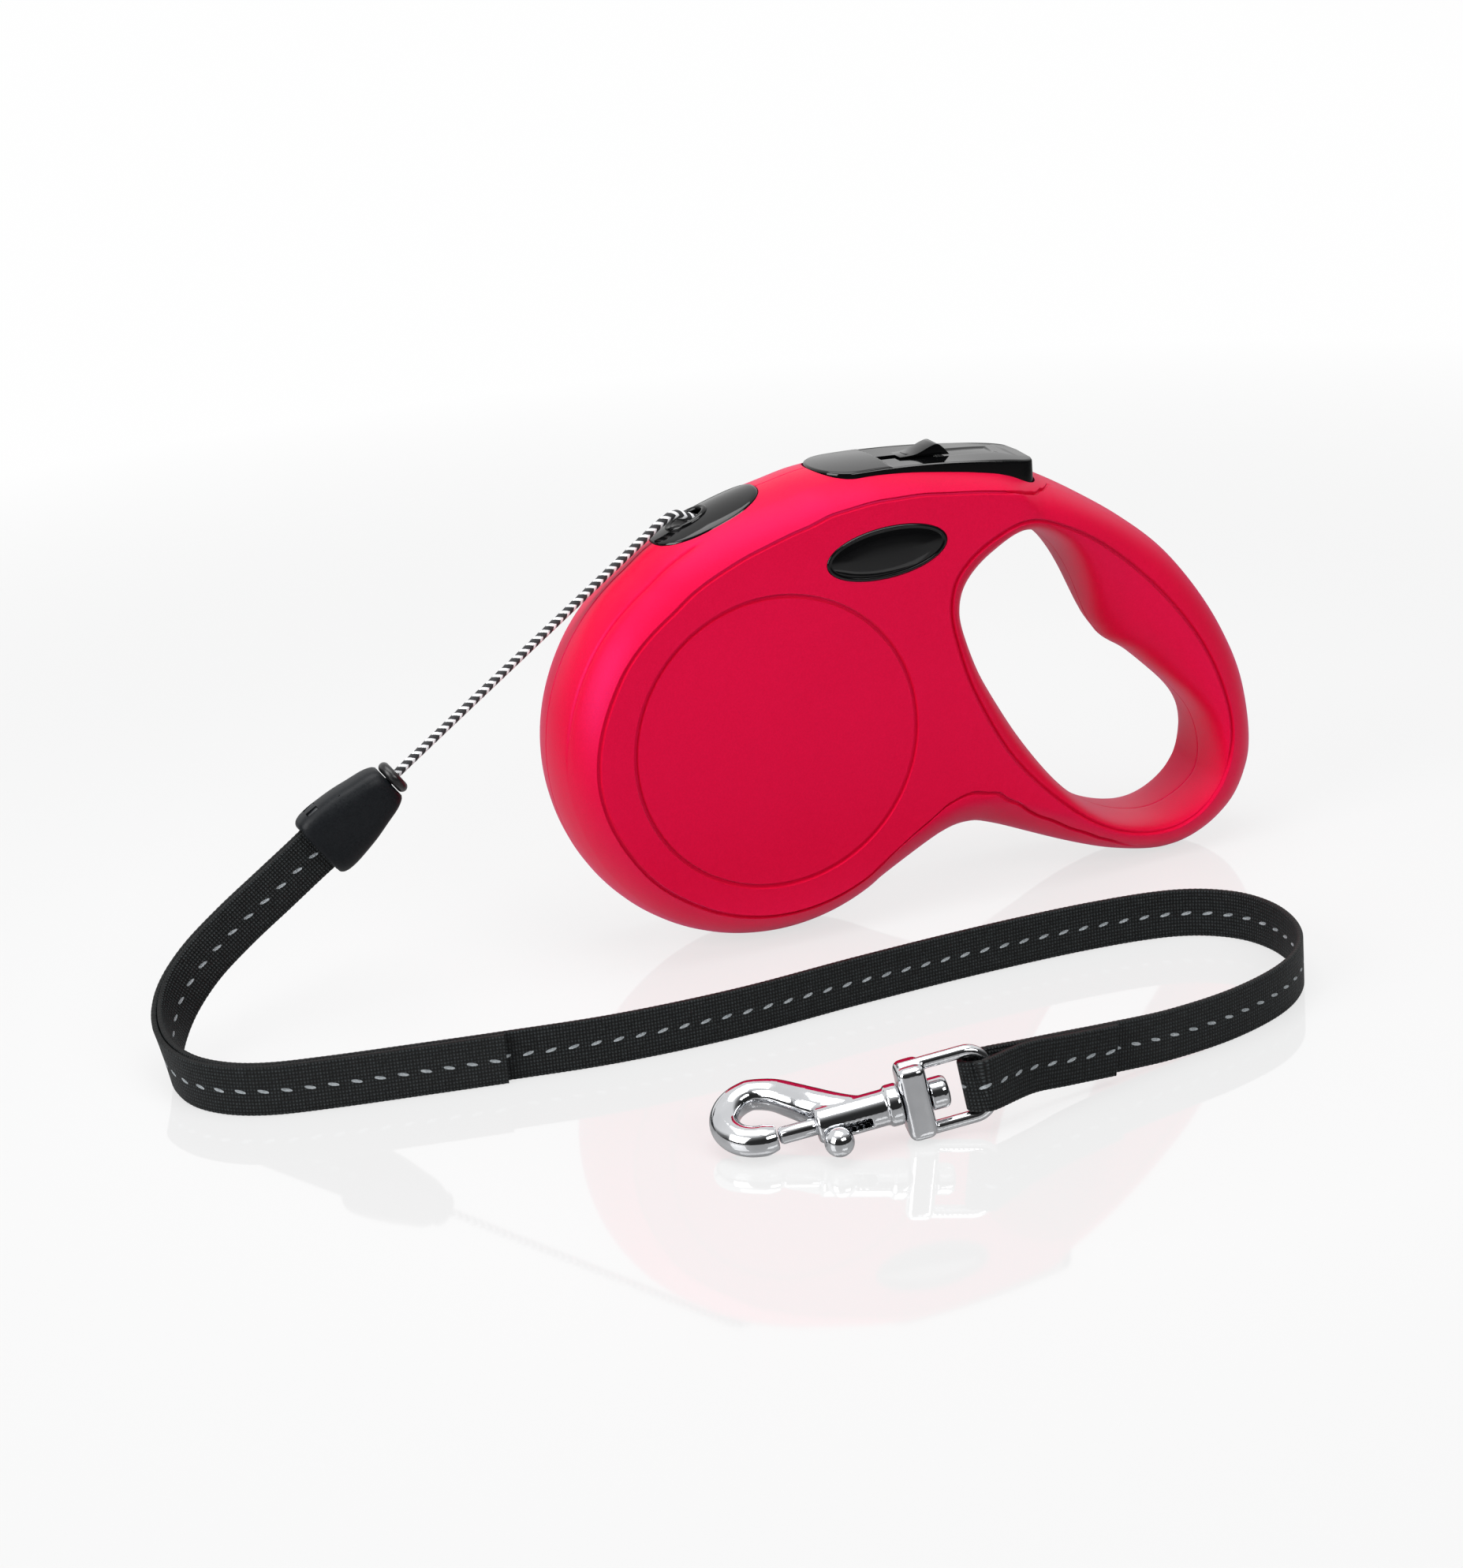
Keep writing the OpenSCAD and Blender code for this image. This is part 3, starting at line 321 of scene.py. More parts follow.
HOOK_HEADING, HOOK_DIP = math.radians(168), math.radians(8.5)
CONNECTOR_U, PIN_IN, PIN_FOLD = 80.5, 15.5, 1.95
BAR_OUT, BAR_FOLD, BAR_REACH = 15.6, 2.8, 5
hook_to_world = Matrix.Rotation(HOOK_HEADING, 3, "Z") @ Matrix.Rotation(HOOK_DIP, 3, "Y")
hook_u, bar_up = hook_to_world @ Vector((1, 0, 0)), hook_to_world @ Vector((0, 0, 1))
swivel_at = Vector((-17.6, -128.7, 9))
eye_bar = swivel_at - hook_u * BAR_OUT
pin_at = cord_bend + cord_run * (CONNECTOR_U + PIN_IN)
pin_turn = folded(pin_at, -cord_run, Vector((0, 1, 0)), PIN_FOLD, PIN_FOLD)
bar_turn = folded(eye_bar, hook_u, hook_u.cross(Vector((0, 0, 1))).normalized(), BAR_FOLD, BAR_REACH)
pin_up = Vector((-math.sin(CORD_SLOPE), 0, math.cos(CORD_SLOPE)))
tail_a = [(layer_at(i, -1), strap_up[i]) for i in range(TAIL_A, -1, -1)]
run = [(layer_at(i, 1 if i <= TAIL_A else -1 if i >= TAIL_B else 0), strap_up[i]) for i in range(LAST + 1)]
tail_b = [(layer_at(i, 1), strap_up[i]) for i in range(LAST, TAIL_B - 1, -1)]
ribbon = tail_a + [(p, pin_up) for p in pin_turn] + run + [(p, bar_up) for p in bar_turn] + tail_b
line, fine_up = flowing([p for p, up in ribbon], 16), flowing([up for p, up in ribbon], 16)
far = distances(line)
strap_line, strap_length = evenly(line, STRAP_STEP)
bm = bmesh.new()
rings, k = [], 0
half_w, half_t = STRAP_W / 2, STRAP_T / 2
profile = [(-0.62, -1), (0.0, -1), (0.62, -1), (0.93, -0.99), (0.985, -0.75), (1, 0), (0.985, 0.75),
           (0.93, 0.99), (0.62, 1), (0.0, 1), (-0.62, 1), (-0.93, 0.99), (-0.985, 0.75), (-1, 0),
           (-0.985, -0.75), (-0.93, -0.99)]
for i, p in enumerate(strap_line):
    want = strap_length * i / (len(strap_line) - 1)
    while k < len(line) - 2 and far[k + 1] < want:
        k += 1
    up = fine_up[k].normalized()
    ahead = (strap_line[min(i + 1, len(strap_line) - 1)] - strap_line[max(i - 1, 0)]).normalized()
    side = up.cross(ahead).normalized()
    up = ahead.cross(side)
    notch = SELVEDGE * (i % 2)
    rings.append([at(*(p + up * ((half_w - (notch if abs(a) > 0.9 else 0)) * a) + side * (half_t * b)))
                  for a, b in profile])
rows = skin(bm, rings)
across = [half_w * a for a, b in profile] + [half_w * profile[0][0]]
wrap(bm, rows, [strap_length * i / (len(rings) - 1) for i in range(len(rings))], across)
cap(bm, rows[0])
cap(bm, rows[-1])

weave = Finish("black_webbing", Roughness=0.5, Specular_IOR_Level=0.22)
split = weave.node("SeparateXYZ")
weave.join(weave.place("UV"), split.inputs[0])
along, height = split.outputs["X"], split.outputs["Y"]
WEFT, WARP = 0.72, 0.82
rib = weave.sum("SINE", weave.sum("MULTIPLY", along, math.pi / WEFT))
row = weave.sum("SINE", weave.sum("MULTIPLY", height, math.pi / WARP))
plait = weave.sum("MULTIPLY", rib, row)
threads = weave.sum("ABSOLUTE", plait)
over = weave.sum("GREATER_THAN", plait, 0.0)
twist = weave.sum("SINE", weave.sum("ADD", weave.sum("MULTIPLY", along, 24.0),
                                    weave.sum("MULTIPLY", height, 18.0)))
lift = weave.sum("ADD", 0.65, weave.sum("MULTIPLY", over, 0.35))
relief = weave.sum("ADD", weave.sum("MULTIPLY", threads, lift), weave.sum("MULTIPLY", twist, 0.10))
# the reflecting thread: short slanted floats, sunk between two rows of the weave
STITCH, FLOAT_L, FLOAT_H, FLOAT_SLANT = 5.0, 2.4, 0.38, 0.22
stitch = weave.sum("FRACT", weave.sum("DIVIDE", along, STITCH))
step = weave.sum("MULTIPLY", weave.sum("SUBTRACT", stitch, 0.5), STITCH)
slant = weave.sum("SUBTRACT", height, weave.sum("MULTIPLY", step, FLOAT_SLANT))
out_along = weave.sum("ABSOLUTE", weave.sum("DIVIDE", step, FLOAT_L / 2))
out_across = weave.sum("ABSOLUTE", weave.sum("DIVIDE", slant, FLOAT_H))
oval = weave.sum("SQRT", weave.sum("ADD", weave.sum("POWER", out_along, 2.4),
                                   weave.sum("POWER", out_across, 2.0)))
thread = weave.sum("LESS_THAN", oval, 1.0)
dust = weave.noise(900, 4)
# painted light and shade: the cloth is painted darker in the gaps between the threads and lighter on their
# tops, with a random tone from the noise over that
cloth_with_painted_shade = weave.shades(weave.sum("ADD", weave.sum("MULTIPLY", threads, 0.7), weave.sum("MULTIPLY", dust, 0.5)),
                     (0.2, (0.0008, 0.0009, 0.001)), (0.65, (0.006, 0.0075, 0.008)),
                     (1.0, (0.042, 0.05, 0.053)))
silver = weave.shades(dust, (0.2, (0.26, 0.29, 0.31)), (0.8, (0.48, 0.51, 0.53)))
blend = weave.node("Mix", data_type="RGBA")
weave.join(thread, blend.inputs["Factor"])
weave.join(cloth_with_painted_shade, blend.inputs["A"])
weave.join(silver, blend.inputs["B"])
weave.join(blend.outputs["Result"], weave.shader.inputs["Base Color"])
weave.bump(weave.sum("ADD", relief, weave.sum("MULTIPLY", thread, 0.5)), 1.0, 0.0004)
strap = piece("woven_strap", bm, "housing", "strap_weave", weave.material, "webbing", sharp=60)

# Housing shells: front and rear halves of the reel case and loop grip, moulded in satin red plastic with a
# fine grain and screwed together. A thin groove frames each face and another rings the finger opening.
REEL_R, BODY_HALF, GRIP_HALF, WALL = 50.5, 17.4, 13.5, 2.2
# the outline past the reel's arc, and the finger opening's edge with how far its wall swells into it
outline_knots = [
    (42, 15.3), (50, 17), (58, 15), (74, 8), (88, 2.8), (102, 0), (113, 2.2), (122, 8.2), (127, 16.8),
    (128.5, 26), (126.5, 41.5), (121.5, 54.5), (114.8, 66), (106.5, 76.5), (96.5, 85.2), (86.5, 92.2),
    (77, 98), (68, 102.4), (57, 105.5), (44, 108), (31, 109.6), (18, 109.2), (8, 107.4), (-4, 104.6),
    (-14, 101), (-22, 96.9)]
open_knots = [
    (66, 92.3, 5.5), (55, 88.7, 7), (47.5, 82.5, 7.5), (45, 75, 7), (46, 66, 7), (50, 52.5, 7), (59, 35, 6.5),
    (72.7, 20, 4.5), (86, 11, 3), (99, 7.6, 2.3), (109, 10, 1.6), (116.3, 17.5, 0.8), (119.3, 28.5, 5.5),
    (117.3, 41, 14), (111.2, 55, 16), (101, 69, 16), (88.5, 81, 16), (77, 88.5, 7)]


def on_reel(degrees):
    a = math.radians(degrees)
    return Vector((REEL_R * math.cos(a), REEL_R + REEL_R * math.sin(a)))


# the reel's arc in degrees, its stations, and the steps between stations on it, past it and on the opening
ARC_FROM, ARC_SWEEP = 124, 178
ARC, FINE, SPAN, OPEN_SPAN = 28, 4, 8, 12
outline = [(k / FINE, on_reel(ARC_FROM + ARC_SWEEP * k / (ARC * FINE))) for k in range(ARC * FINE)]
guide_points = [on_reel(ARC_FROM + ARC_SWEEP * (ARC - 1) / ARC), on_reel(ARC_FROM + ARC_SWEEP)]
guide_points += [Vector(p) for p in outline_knots]
guide_points += [on_reel(ARC_FROM), on_reel(ARC_FROM + ARC_SWEEP / ARC)]
for i in range(1, len(guide_points) - 2):
    outline += [(ARC + i - 1 + j / SPAN, between(*guide_points[i - 1:i + 3], j / SPAN)) for j in range(SPAN)]
opening = flowing([Vector(p) for p in open_knots], OPEN_SPAN, closed=True)
open_middle = Vector((84, 51))


def ease(t):
    """Goes smoothly from 0 to 1."""
    t = min(max(t, 0), 1)
    return t * t * (3 - 2 * t)


NECK_X, NECK_L = 62, 43


def half_at(x):
    """Half the housing's thickness, which eases along the neck from the reel's to the grip's."""
    return BODY_HALF + (GRIP_HALF - BODY_HALF) * ease((x - NECK_X) / NECK_L)


def along_table(table, s, blend=ease):
    """A value that eases from row to row of a table of stations."""
    for (a, x), (b, y) in zip(table, table[1:]):
        if a <= s <= b:
            return x + (y - x) * blend((s - a) / (b - a))
    return table[0][1] if s < table[0][0] else table[-1][1]


def nearest(p):
    """How far the opening's edge is from a point, and where on the edge that is."""
    best = None
    for j, a in enumerate(opening):
        b = opening[(j + 1) % len(opening)]
        d = b.xy - a.xy
        t = min(max((p - a.xy).dot(d) / d.length_squared, 0), 1)
        gap = (a.xy + d * t - p).length
        if best is None or gap < best[0]:
            best = (gap, j + t)
    return best


def edge_place(u):
    """The point at a place on the opening's edge."""
    j = math.floor(u) % len(opening)
    return opening[j].lerp(opening[(j + 1) % len(opening)], u - math.floor(u))


def seen_from_middle(p):
    """The place on the edge that lies between the opening's middle and a point."""
    d = p - open_middle
    for j, a in enumerate(opening):
        a, b = a.xy - open_middle, opening[(j + 1) % len(opening)].xy - open_middle
        ca, cb = a.x * d.y - a.y * d.x, b.x * d.y - b.y * d.x
        if ca >= 0 > cb and a.dot(d) > 0:
            return j + ca / (ca - cb)


# the frame groove's distance from the outline, how deep it is, how far the rim's width follows it, how full
# the rim's round is in degrees, and how deep the soft crease is, by station along the outline
groove_in = [
    (0, 9), (4, 8.2), (9.5, 6.8), (14.5, 7.7), (18, 8.3), (28, 8.4), (28.7, 11.6), (29, 13.2), (29.4, 13.5),
    (30, 11.9), (30.5, 9.3), (31.3, 6.8), (31.9, 5.4), (32.5, 4.4), (33.2, 3.2), (34, 1), (44.7, 1),
    (45.1, 1.2), (45.4, 2.6), (45.8, 4.1), (46.2, 4.5), (47, 5), (48, 5.7), (49, 6.7), (50, 7.4), (51, 8.2),
    (52, 8.8), (53, 9), (55, 9)]
groove_deep = [(0, 1), (32.5, 1), (33.4, 0), (45.05, 0), (45.35, 1), (55, 1)]
rim_follows = [(0, 1), (27.4, 1), (28.4, 0), (45.3, 0), (46.8, 1), (55, 1)]
rim_full = [(0, 62), (30.5, 62), (32.2, 78), (45.2, 78), (47, 62), (55, 62)]
crease_deep = [(0, 1), (6, 0.9), (10, 0), (52.6, 0), (53.4, 1), (55, 1)]
# a groove's section, the crease's half width, the steps on each bow of a wall's section, the plain rim's
# width and the seam's chamfer
GROOVE = ((-0.8, 0), (-0.62, 0.05), (-0.36, 0.85), (0.36, 0.85), (0.62, 0.05), (0.8, 0))
LIP = GROOVE[-1][0]
CREASE_HALF, BOW, RIM_IN = 0.9, 30, 9
SEAM_IN, SEAM_AT, SEAM_SINK, SEAM_LIP = 0.25, 0.1, 0.08, 0.28
# the place on the opening's edge that faces the outline from the reel to the neck, in its own knots
facing_edge = [
    (8, 3.94), (10, 4.2), (15, 4.66), (20, 4.92), (24, 5.09), (27, 5.23), (28, 5.31), (28.5, 5.37),
    (29, 5.48), (29.5, 5.79), (30, 6.11), (30.5, 6.35), (31, 6.6), (31.5, 7.006)]


def wall_section(i):
    """The closed section of one shell's wall at one place of the outline, from the parting line round."""
    station, o = outline[i]
    before, after = outline[i - 1][1], outline[(i + 1) % len(outline)][1]
    tangent = (after - before).normalized()
    square = Vector((-tangent.y, tangent.x))
    gap, u = nearest(o)
    away = ease(gap / RIM_IN - 1.2)
    inward = ((edge_place(u).xy - o).normalized().lerp(square, away)).normalized()
    plain = min(RIM_IN, gap - LIP)
    follows = along_table(rim_follows, station)
    deep = plain + (along_table(groove_in, station) - plain) * follows
    half = half_at(o.x)
    if facing_edge[0][0] <= station <= facing_edge[-1][0]:
        edge = edge_place(OPEN_SPAN * along_table(facing_edge, station, float))
    else:
        u = nearest(o + inward * deep)[1]
        step = seen_from_middle(o) - u
        step -= len(opening) * round(step / len(opening))
        edge = edge_place(u + 0.2 * away * step)
    e, swell = edge.xy, edge.z
    d = (open_middle - e).normalized()
    full = math.radians(along_table(rim_full, station))

    def rim(f, start, width, h):
        q = o + inward * (start + (width - start) * (1 - math.cos(f * full)) / (1 - math.cos(full)))
        return Vector((q.x, h * math.sin(f * full) / math.sin(full), q.y))

    def mouth(a, swells, h):
        q = e + d * (swells * math.sin(a))
        return Vector((q.x, h * math.cos(a), q.y))

    line = [rim(k / BOW, 0, deep, half) for k in range(BOW + 1)]
    crest = len(line) - 1
    line += [mouth(math.pi / 2 * k / BOW, swell, half) for k in range(BOW + 1)]
    far = distances(line)
    s_crest, s_edge, s_end = far[crest], far[crest + 1], far[-1]
    inset = along_table(groove_in, station)
    if inset < deep - 0.01:
        f = math.acos(1 - inset / deep * (1 - math.cos(full))) / full * crest
        s_groove = far[int(f)] + (far[int(f) + 1] - far[int(f)]) * (f - int(f))
    else:
        s_groove = s_crest + inset - deep
    # the groove keeps clear of the seam and of the opening's ring, and the crease lies half way to it
    s_groove = max(2.8, min(s_groove, s_edge - 1.9))
    s_crease = 1.2 + (s_groove - 1.8) * 0.52
    s_ring = s_edge + 0.3

    def spot(s, sink=0.0):
        """The point that far along the wall's outside, sunk square to it."""
        k = next((k for k in range(len(far) - 1) if far[k + 1] >= s), len(far) - 2)
        p = line[k].lerp(line[k + 1], (s - far[k]) / max(far[k + 1] - far[k], 1e-9))
        if sink:
            t = (line[min(k + 2, len(line) - 1)] - line[max(k - 1, 0)]).normalized()
            flat = Vector((t.x, 0, t.z))
            way = flat.normalized() if flat.length > 1e-4 else Vector((inward.x, 0, inward.y))
            p = p + (way * t.y - Vector((0, flat.length, 0))) * sink
        return p

    depth, crease = along_table(groove_deep, station), along_table(crease_deep, station)
    ring = [rim(0, SEAM_IN, deep, half), spot(SEAM_AT, SEAM_SINK), spot(SEAM_LIP)]
    ring += [spot(SEAM_LIP + (s_crease - CREASE_HALF - SEAM_LIP) * k / 4) for k in range(1, 5)]
    first = s_crease + CREASE_HALF
    ring += [spot(s_crease - 0.3, 0.18 * crease), spot(s_crease, 0.42 * crease), spot(first)]
    ring += [spot(first + (s_groove - LIP - first) * k / 5) for k in range(1, 5)]
    ring += [spot(s_groove + x, sink * depth) for x, sink in GROOVE]
    first, last = s_groove + LIP, s_ring - LIP
    ring += [spot(first + (last - first) * k / 5) for k in range(1, 5)]
    ring += [spot(s_ring + x, sink) for x, sink in GROOVE]
    first, last = s_ring + LIP, s_end - SEAM_LIP
    ring += [spot(first + (last - first) * k / 13) for k in range(1, 14)]
    ring += [spot(s_end - SEAM_AT, SEAM_SINK),
             mouth(math.pi / 2, swell, half) - Vector((d.x, 0, d.y)) * SEAM_IN]
    ring[-1].y = 0
    ring += [mouth(math.pi / 2 * k / 6, swell - WALL, half - WALL) for k in range(6, -1, -1)]
    ring += [rim(k / 6, WALL, deep, half - WALL) for k in range(6, -1, -1)]
    for p in (ring[0], ring[-1], ring[-14]):
        p.y = 0
    return ring


sections = [wall_section(i) for i in range(len(outline))]


def turned(profile, to_place, steps=64):
    """A solid of turning: (along, radius) points turned about their axis, as a new bmesh in its place."""
    bm = bmesh.new()
    verts = [bm.verts.new(Vector((a, max(r, 0), 0))) for a, r in profile]
    edges = [bm.edges.new(pair) for pair in zip(verts, verts[1:])]
    bmesh.ops.spin(bm, geom=verts + edges, cent=(0, 0, 0), axis=(1, 0, 0), angle=2 * math.pi,
                   steps=steps, use_merge=True)
    bmesh.ops.remove_doubles(bm, verts=bm.verts, dist=1e-5)
    bmesh.ops.recalc_face_normals(bm, faces=bm.faces)
    bmesh.ops.transform(bm, matrix=to_place, verts=bm.verts)
    return bm


def prism(outline_points, low, high, to_place):
    """A flat outline drawn up into a straight-sided solid, as a new bmesh in its place."""
    bm = bmesh.new()
    face = bm.faces.new([bm.verts.new(Vector((x, y, low))) for x, y in outline_points])
    made = bmesh.ops.extrude_face_region(bm, geom=[face])["geom"]
    upper = [v for v in made if isinstance(v, bmesh.types.BMVert)]
    bmesh.ops.translate(bm, vec=(0, 0, high - low), verts=upper)
    bmesh.ops.recalc_face_normals(bm, faces=bm.faces)
    bmesh.ops.transform(bm, matrix=to_place, verts=bm.verts)
    return bm


def add_to(bm, other):
    """Puts a second bmesh into the first."""
    mesh = bpy.data.meshes.new("joined")
    other.to_mesh(mesh)
    other.free()
    bm.from_mesh(mesh)
    bpy.data.meshes.remove(mesh)
    return bm


def scratch(bm):
    """An object for a moment's work, made of a bmesh."""
    mesh = bpy.data.meshes.new("scratch")
    bm.to_mesh(mesh)
    bm.free()
    obj = bpy.data.objects.new("scratch", mesh)
    bpy.context.collection.objects.link(obj)
    return obj


def settled(obj):
    """The bmesh that an object's modifiers give; the object goes."""
    bpy.context.view_layer.update()
    made = obj.evaluated_get(bpy.context.evaluated_depsgraph_get()).to_mesh()
    bm = bmesh.new()
    bm.from_mesh(made)
    mesh = obj.data
    bpy.data.objects.remove(obj)
    bpy.data.meshes.remove(mesh)
    return bm


def cut(bm, *tools, operation="DIFFERENCE"):
    """The first solid with each tool cut out of it, or joined on."""
    body, others = scratch(bm), [scratch(tool) for tool in tools]
    for tool in others:
        change = body.modifiers.new("cut", "BOOLEAN")
        change.operation, change.solver, change.object = operation, "EXACT", tool
    bm = settled(body)
    for tool in others:
        mesh = tool.data
        bpy.data.objects.remove(tool)
        bpy.data.meshes.remove(mesh)
    return bm


MM = Matrix.Diagonal((0.001, 0.001, 0.001, 1)) @ Matrix.Translation((-REEL_X, 0, 0))
NOSE_X, NOSE_L, BUTTON_HALF, REAR_X, CORNER = 27, 8.6, 10.6, 72, 4


def crosswise(x, z):
    """A place on the parting plane, with its axis across the housing."""
    return MM @ Matrix.Translation((x, 0, z)) @ Matrix.Rotation(math.radians(90), 4, "Z")


def button_plan(c):
    """The button's outline from above, moved out by c."""
    nose = [(NOSE_X + (NOSE_L + c) * math.cos(a), (BUTTON_HALF + c) * math.sin(a)) for a in
            (math.radians(90 + 180 * k / 32) for k in range(33))]
    near = [(REAR_X - CORNER + (CORNER + c) * math.cos(a), CORNER - BUTTON_HALF + (CORNER + c) * math.sin(a))
            for a in (math.radians(-90 + 90 * k / 8) for k in range(9))]
    return nose + near + [(x, -y) for x, y in reversed(near)]


SLOT_AT = MM @ Matrix(((1, 0, 0, 0), (0, 1, 0, 0), (-1 / 6, 0, 1, 105.8), (0, 0, 0, 1)))
GUIDE_AT = MM @ Matrix.Translation((-8, 0, 103.3)) @ Matrix.Rotation(math.radians(-19.3), 4, "Y")
BADGE_AT = MM @ Matrix.Translation((30, -BODY_HALF, 90.8)) @ Matrix.Rotation(math.radians(-3.5), 4, "Y") @ (
    Matrix.Rotation(math.radians(90), 4, "X"))
SCREWS = ((47, 27), (57, 92.5), (100.5, 68.5), (114.2, 48.6))
GUIDE_SEAT, GUIDE_FULL, BADGE_SEAT = (13.8, 9.1), 0.84, (15.15, 6.15)
BUTTON_ROOM, HEAD_R, BOSS_R = 0.4, 2.8, 3.6
LABEL = ((-0.2, 0), (-0.2, 34.05), (-0.85, 34.3), (-0.85, 34.95), (0.02, 35.25), (2, 35.25), (2, 0))


def ellipse(a, b, n=96, full=1.0):
    """An oval, which gets fuller corners as full falls below 1."""
    turns = [2 * math.pi * k / n for k in range(n)]
    return [tuple(r * math.copysign(abs(f) ** full, f) for r, f in ((a, math.cos(t)), (b, math.sin(t))))
            for t in turns]


def shell(side):
    """One half: the skinned wall, with its slot, outlet seat, label recess and screw or badge seats."""
    bm = bmesh.new()
    rings = [[at(p.x, side * p.y, p.z) for p in ring] for ring in sections]
    rows = skin(bm, [[ring[k] for ring in rings] for k in range(len(rings[0]))])
    ends = [bm.edges.get((row[k], row[(k + 1) % len(row)]))
            for row in (rows[0], rows[-1]) for k in range(len(row))]
    bmesh.ops.bridge_loops(bm, edges=ends)
    bmesh.ops.recalc_face_normals(bm, faces=bm.faces)
    tools = [prism(button_plan(BUTTON_ROOM), 0, 40, SLOT_AT),
             prism(ellipse(*GUIDE_SEAT, full=GUIDE_FULL), -5.05, 12, GUIDE_AT)]
    facing = MM @ Matrix.Translation((0, side * BODY_HALF, REEL_R)) @ Matrix.Rotation(
        math.radians(90 * side), 4, "Z")
    tools.append(turned(LABEL, facing, 200))
    if side < 0:
        tools.append(prism(ellipse(*BADGE_SEAT), -1.4, 5, BADGE_AT))
    else:
        for x, z in SCREWS:
            tools.append(turned([(6, 0), (6, HEAD_R), (30, HEAD_R), (30, 0)], crosswise(x, z), 40))
    bm = cut(bm, *tools)
    if side > 0:
        for x, z in SCREWS:
            top = half_at(x) - 1.2
            boss = [(2, 1.6), (2, BOSS_R), (top, BOSS_R), (top, HEAD_R), (4, HEAD_R), (4, 1.6), (2, 1.6)]
            add_to(bm, turned(boss, crosswise(x, z), 40))
    return bm


red = Finish("satin_red_plastic", Roughness=0.4, Specular_IOR_Level=0.45, Specular_Tint=(0.75, 0.13, 0.8, 1),
             Sheen_Weight=0.16, Sheen_Roughness=0.35, Sheen_Tint=(1, 0.28, 0.85, 1))
grain = red.noise(2600, 2.0)
broad = red.noise(9, 3)
red.colour(red.sum("ADD", red.sum("MULTIPLY", grain, 0.5), red.sum("MULTIPLY", broad, 0.5)),
           (0.25, (0.60, 0.002, 0.026)), (0.5, (0.68, 0.0025, 0.032)), (0.75, (0.76, 0.0034, 0.042)))
red.vary("Roughness", grain, 0.34, 0.50)
red.bump(red.sum("ADD", grain, red.sum("MULTIPLY", red.noise(6000, 1), 0.5)), 0.16, 0.00018)
front_half = piece("housing_front", shell(-1), "housing", "red_plastic", red.material, "front_shell",
                   sharp=40)
rear_half = piece("housing_rear", shell(1), "housing", "red_plastic", red.material, "rear_shell", sharp=40)
for half in (front_half, rear_half):
    flat = half.modifiers.new("even_faces", "WEIGHTED_NORMAL")
    flat.keep_sharp = True

# Badge: an oval plate of gloss black plastic, domed a little inside a thin lip and left bare. It is glued
# into its seat in the front half.


def layered(rings, to_place):
    """A closed solid skinned over rings of points, as a new bmesh in its place."""
    bm = bmesh.new()
    rows = skin(bm, [[to_place @ Vector(p) for p in ring] for ring in rings])
    cap(bm, rows[0])
    cap(bm, rows[-1])
    return bm


gloss = Finish("gloss_black_plastic", Roughness=0.08, Specular_IOR_Level=0.45)
wear = gloss.noise(60, 4)
gloss.colour(wear, (0.3, (0.0014, 0.0015, 0.0017)), (0.7, (0.003, 0.0031, 0.0034)))
gloss.vary("Roughness", wear, 0.04, 0.1)
gloss.bump(gloss.noise(350, 1), 0.05, 0.0001)
BADGE_A, BADGE_B = 15.05, 6.05
BADGE = ((0, -1.3), (0, -0.25), (0.12, 0.02), (0.4, 0.12), (0.75, 0.08), (1, -0.12), (1.25, -0.06),
         (2, 0.1), (3, 0.22), (4, 0.3), (5, 0.35), (5.9, 0.37))
rings = [[(x, y, h) for x, y in ellipse(BADGE_A - c, BADGE_B - c)] for c, h in BADGE]
piece("name_badge", layered(rings, BADGE_AT), "housing", "black_gloss", gloss.material, "badge", sharp=60)

# Cord guide: a crowned oval plug of the same gloss black, pressed into the seat in both halves. The cord runs
# out through its flared hole, which has a raised lip.


def tube(points, radii, normal, closed=False, sides=24):
    """A round bar along a line of points that lies flat to the normal, as a new bmesh."""
    bm, rings, n = bmesh.new(), [], len(points)
    for i, (p, r) in enumerate(zip(points, radii)):
        before = points[i - 1] if closed or i else p
        after = points[(i + 1) % n] if closed or i < n - 1 else p
        side = (after - before).cross(normal).normalized()
        rings.append([p + side * (r * math.cos(a)) + normal * (r * math.sin(a))
                      for a in (2 * math.pi * k / sides for k in range(sides))])
    rows = skin(bm, rings)
    if closed:
        bmesh.ops.bridge_loops(bm, edges=[bm.edges.get((row[k], row[(k + 1) % sides]))
                                          for row in (rows[0], rows[-1]) for k in range(sides)])
    else:
        cap(bm, rows[0])
        cap(bm, rows[-1])
    bmesh.ops.recalc_face_normals(bm, faces=bm.faces)
    return bm


def put(bm, to_place):
    """Moves a bmesh to its place."""
    bmesh.ops.transform(bm, matrix=to_place, verts=bm.verts)
    return bm


GUIDE_A, GUIDE_B, GUIDE_RISE, GUIDE_R, GUIDE_RIM = 13.7, 9, 0.4, 95, 21


def guide_top(x, y):
    """The height of the plug's crown, which is bent more across than along."""
    lower = GUIDE_R - GUIDE_RIM + math.sqrt(GUIDE_RIM ** 2 - y * y)
    return GUIDE_RISE - GUIDE_R + math.sqrt(lower ** 2 - x * x)


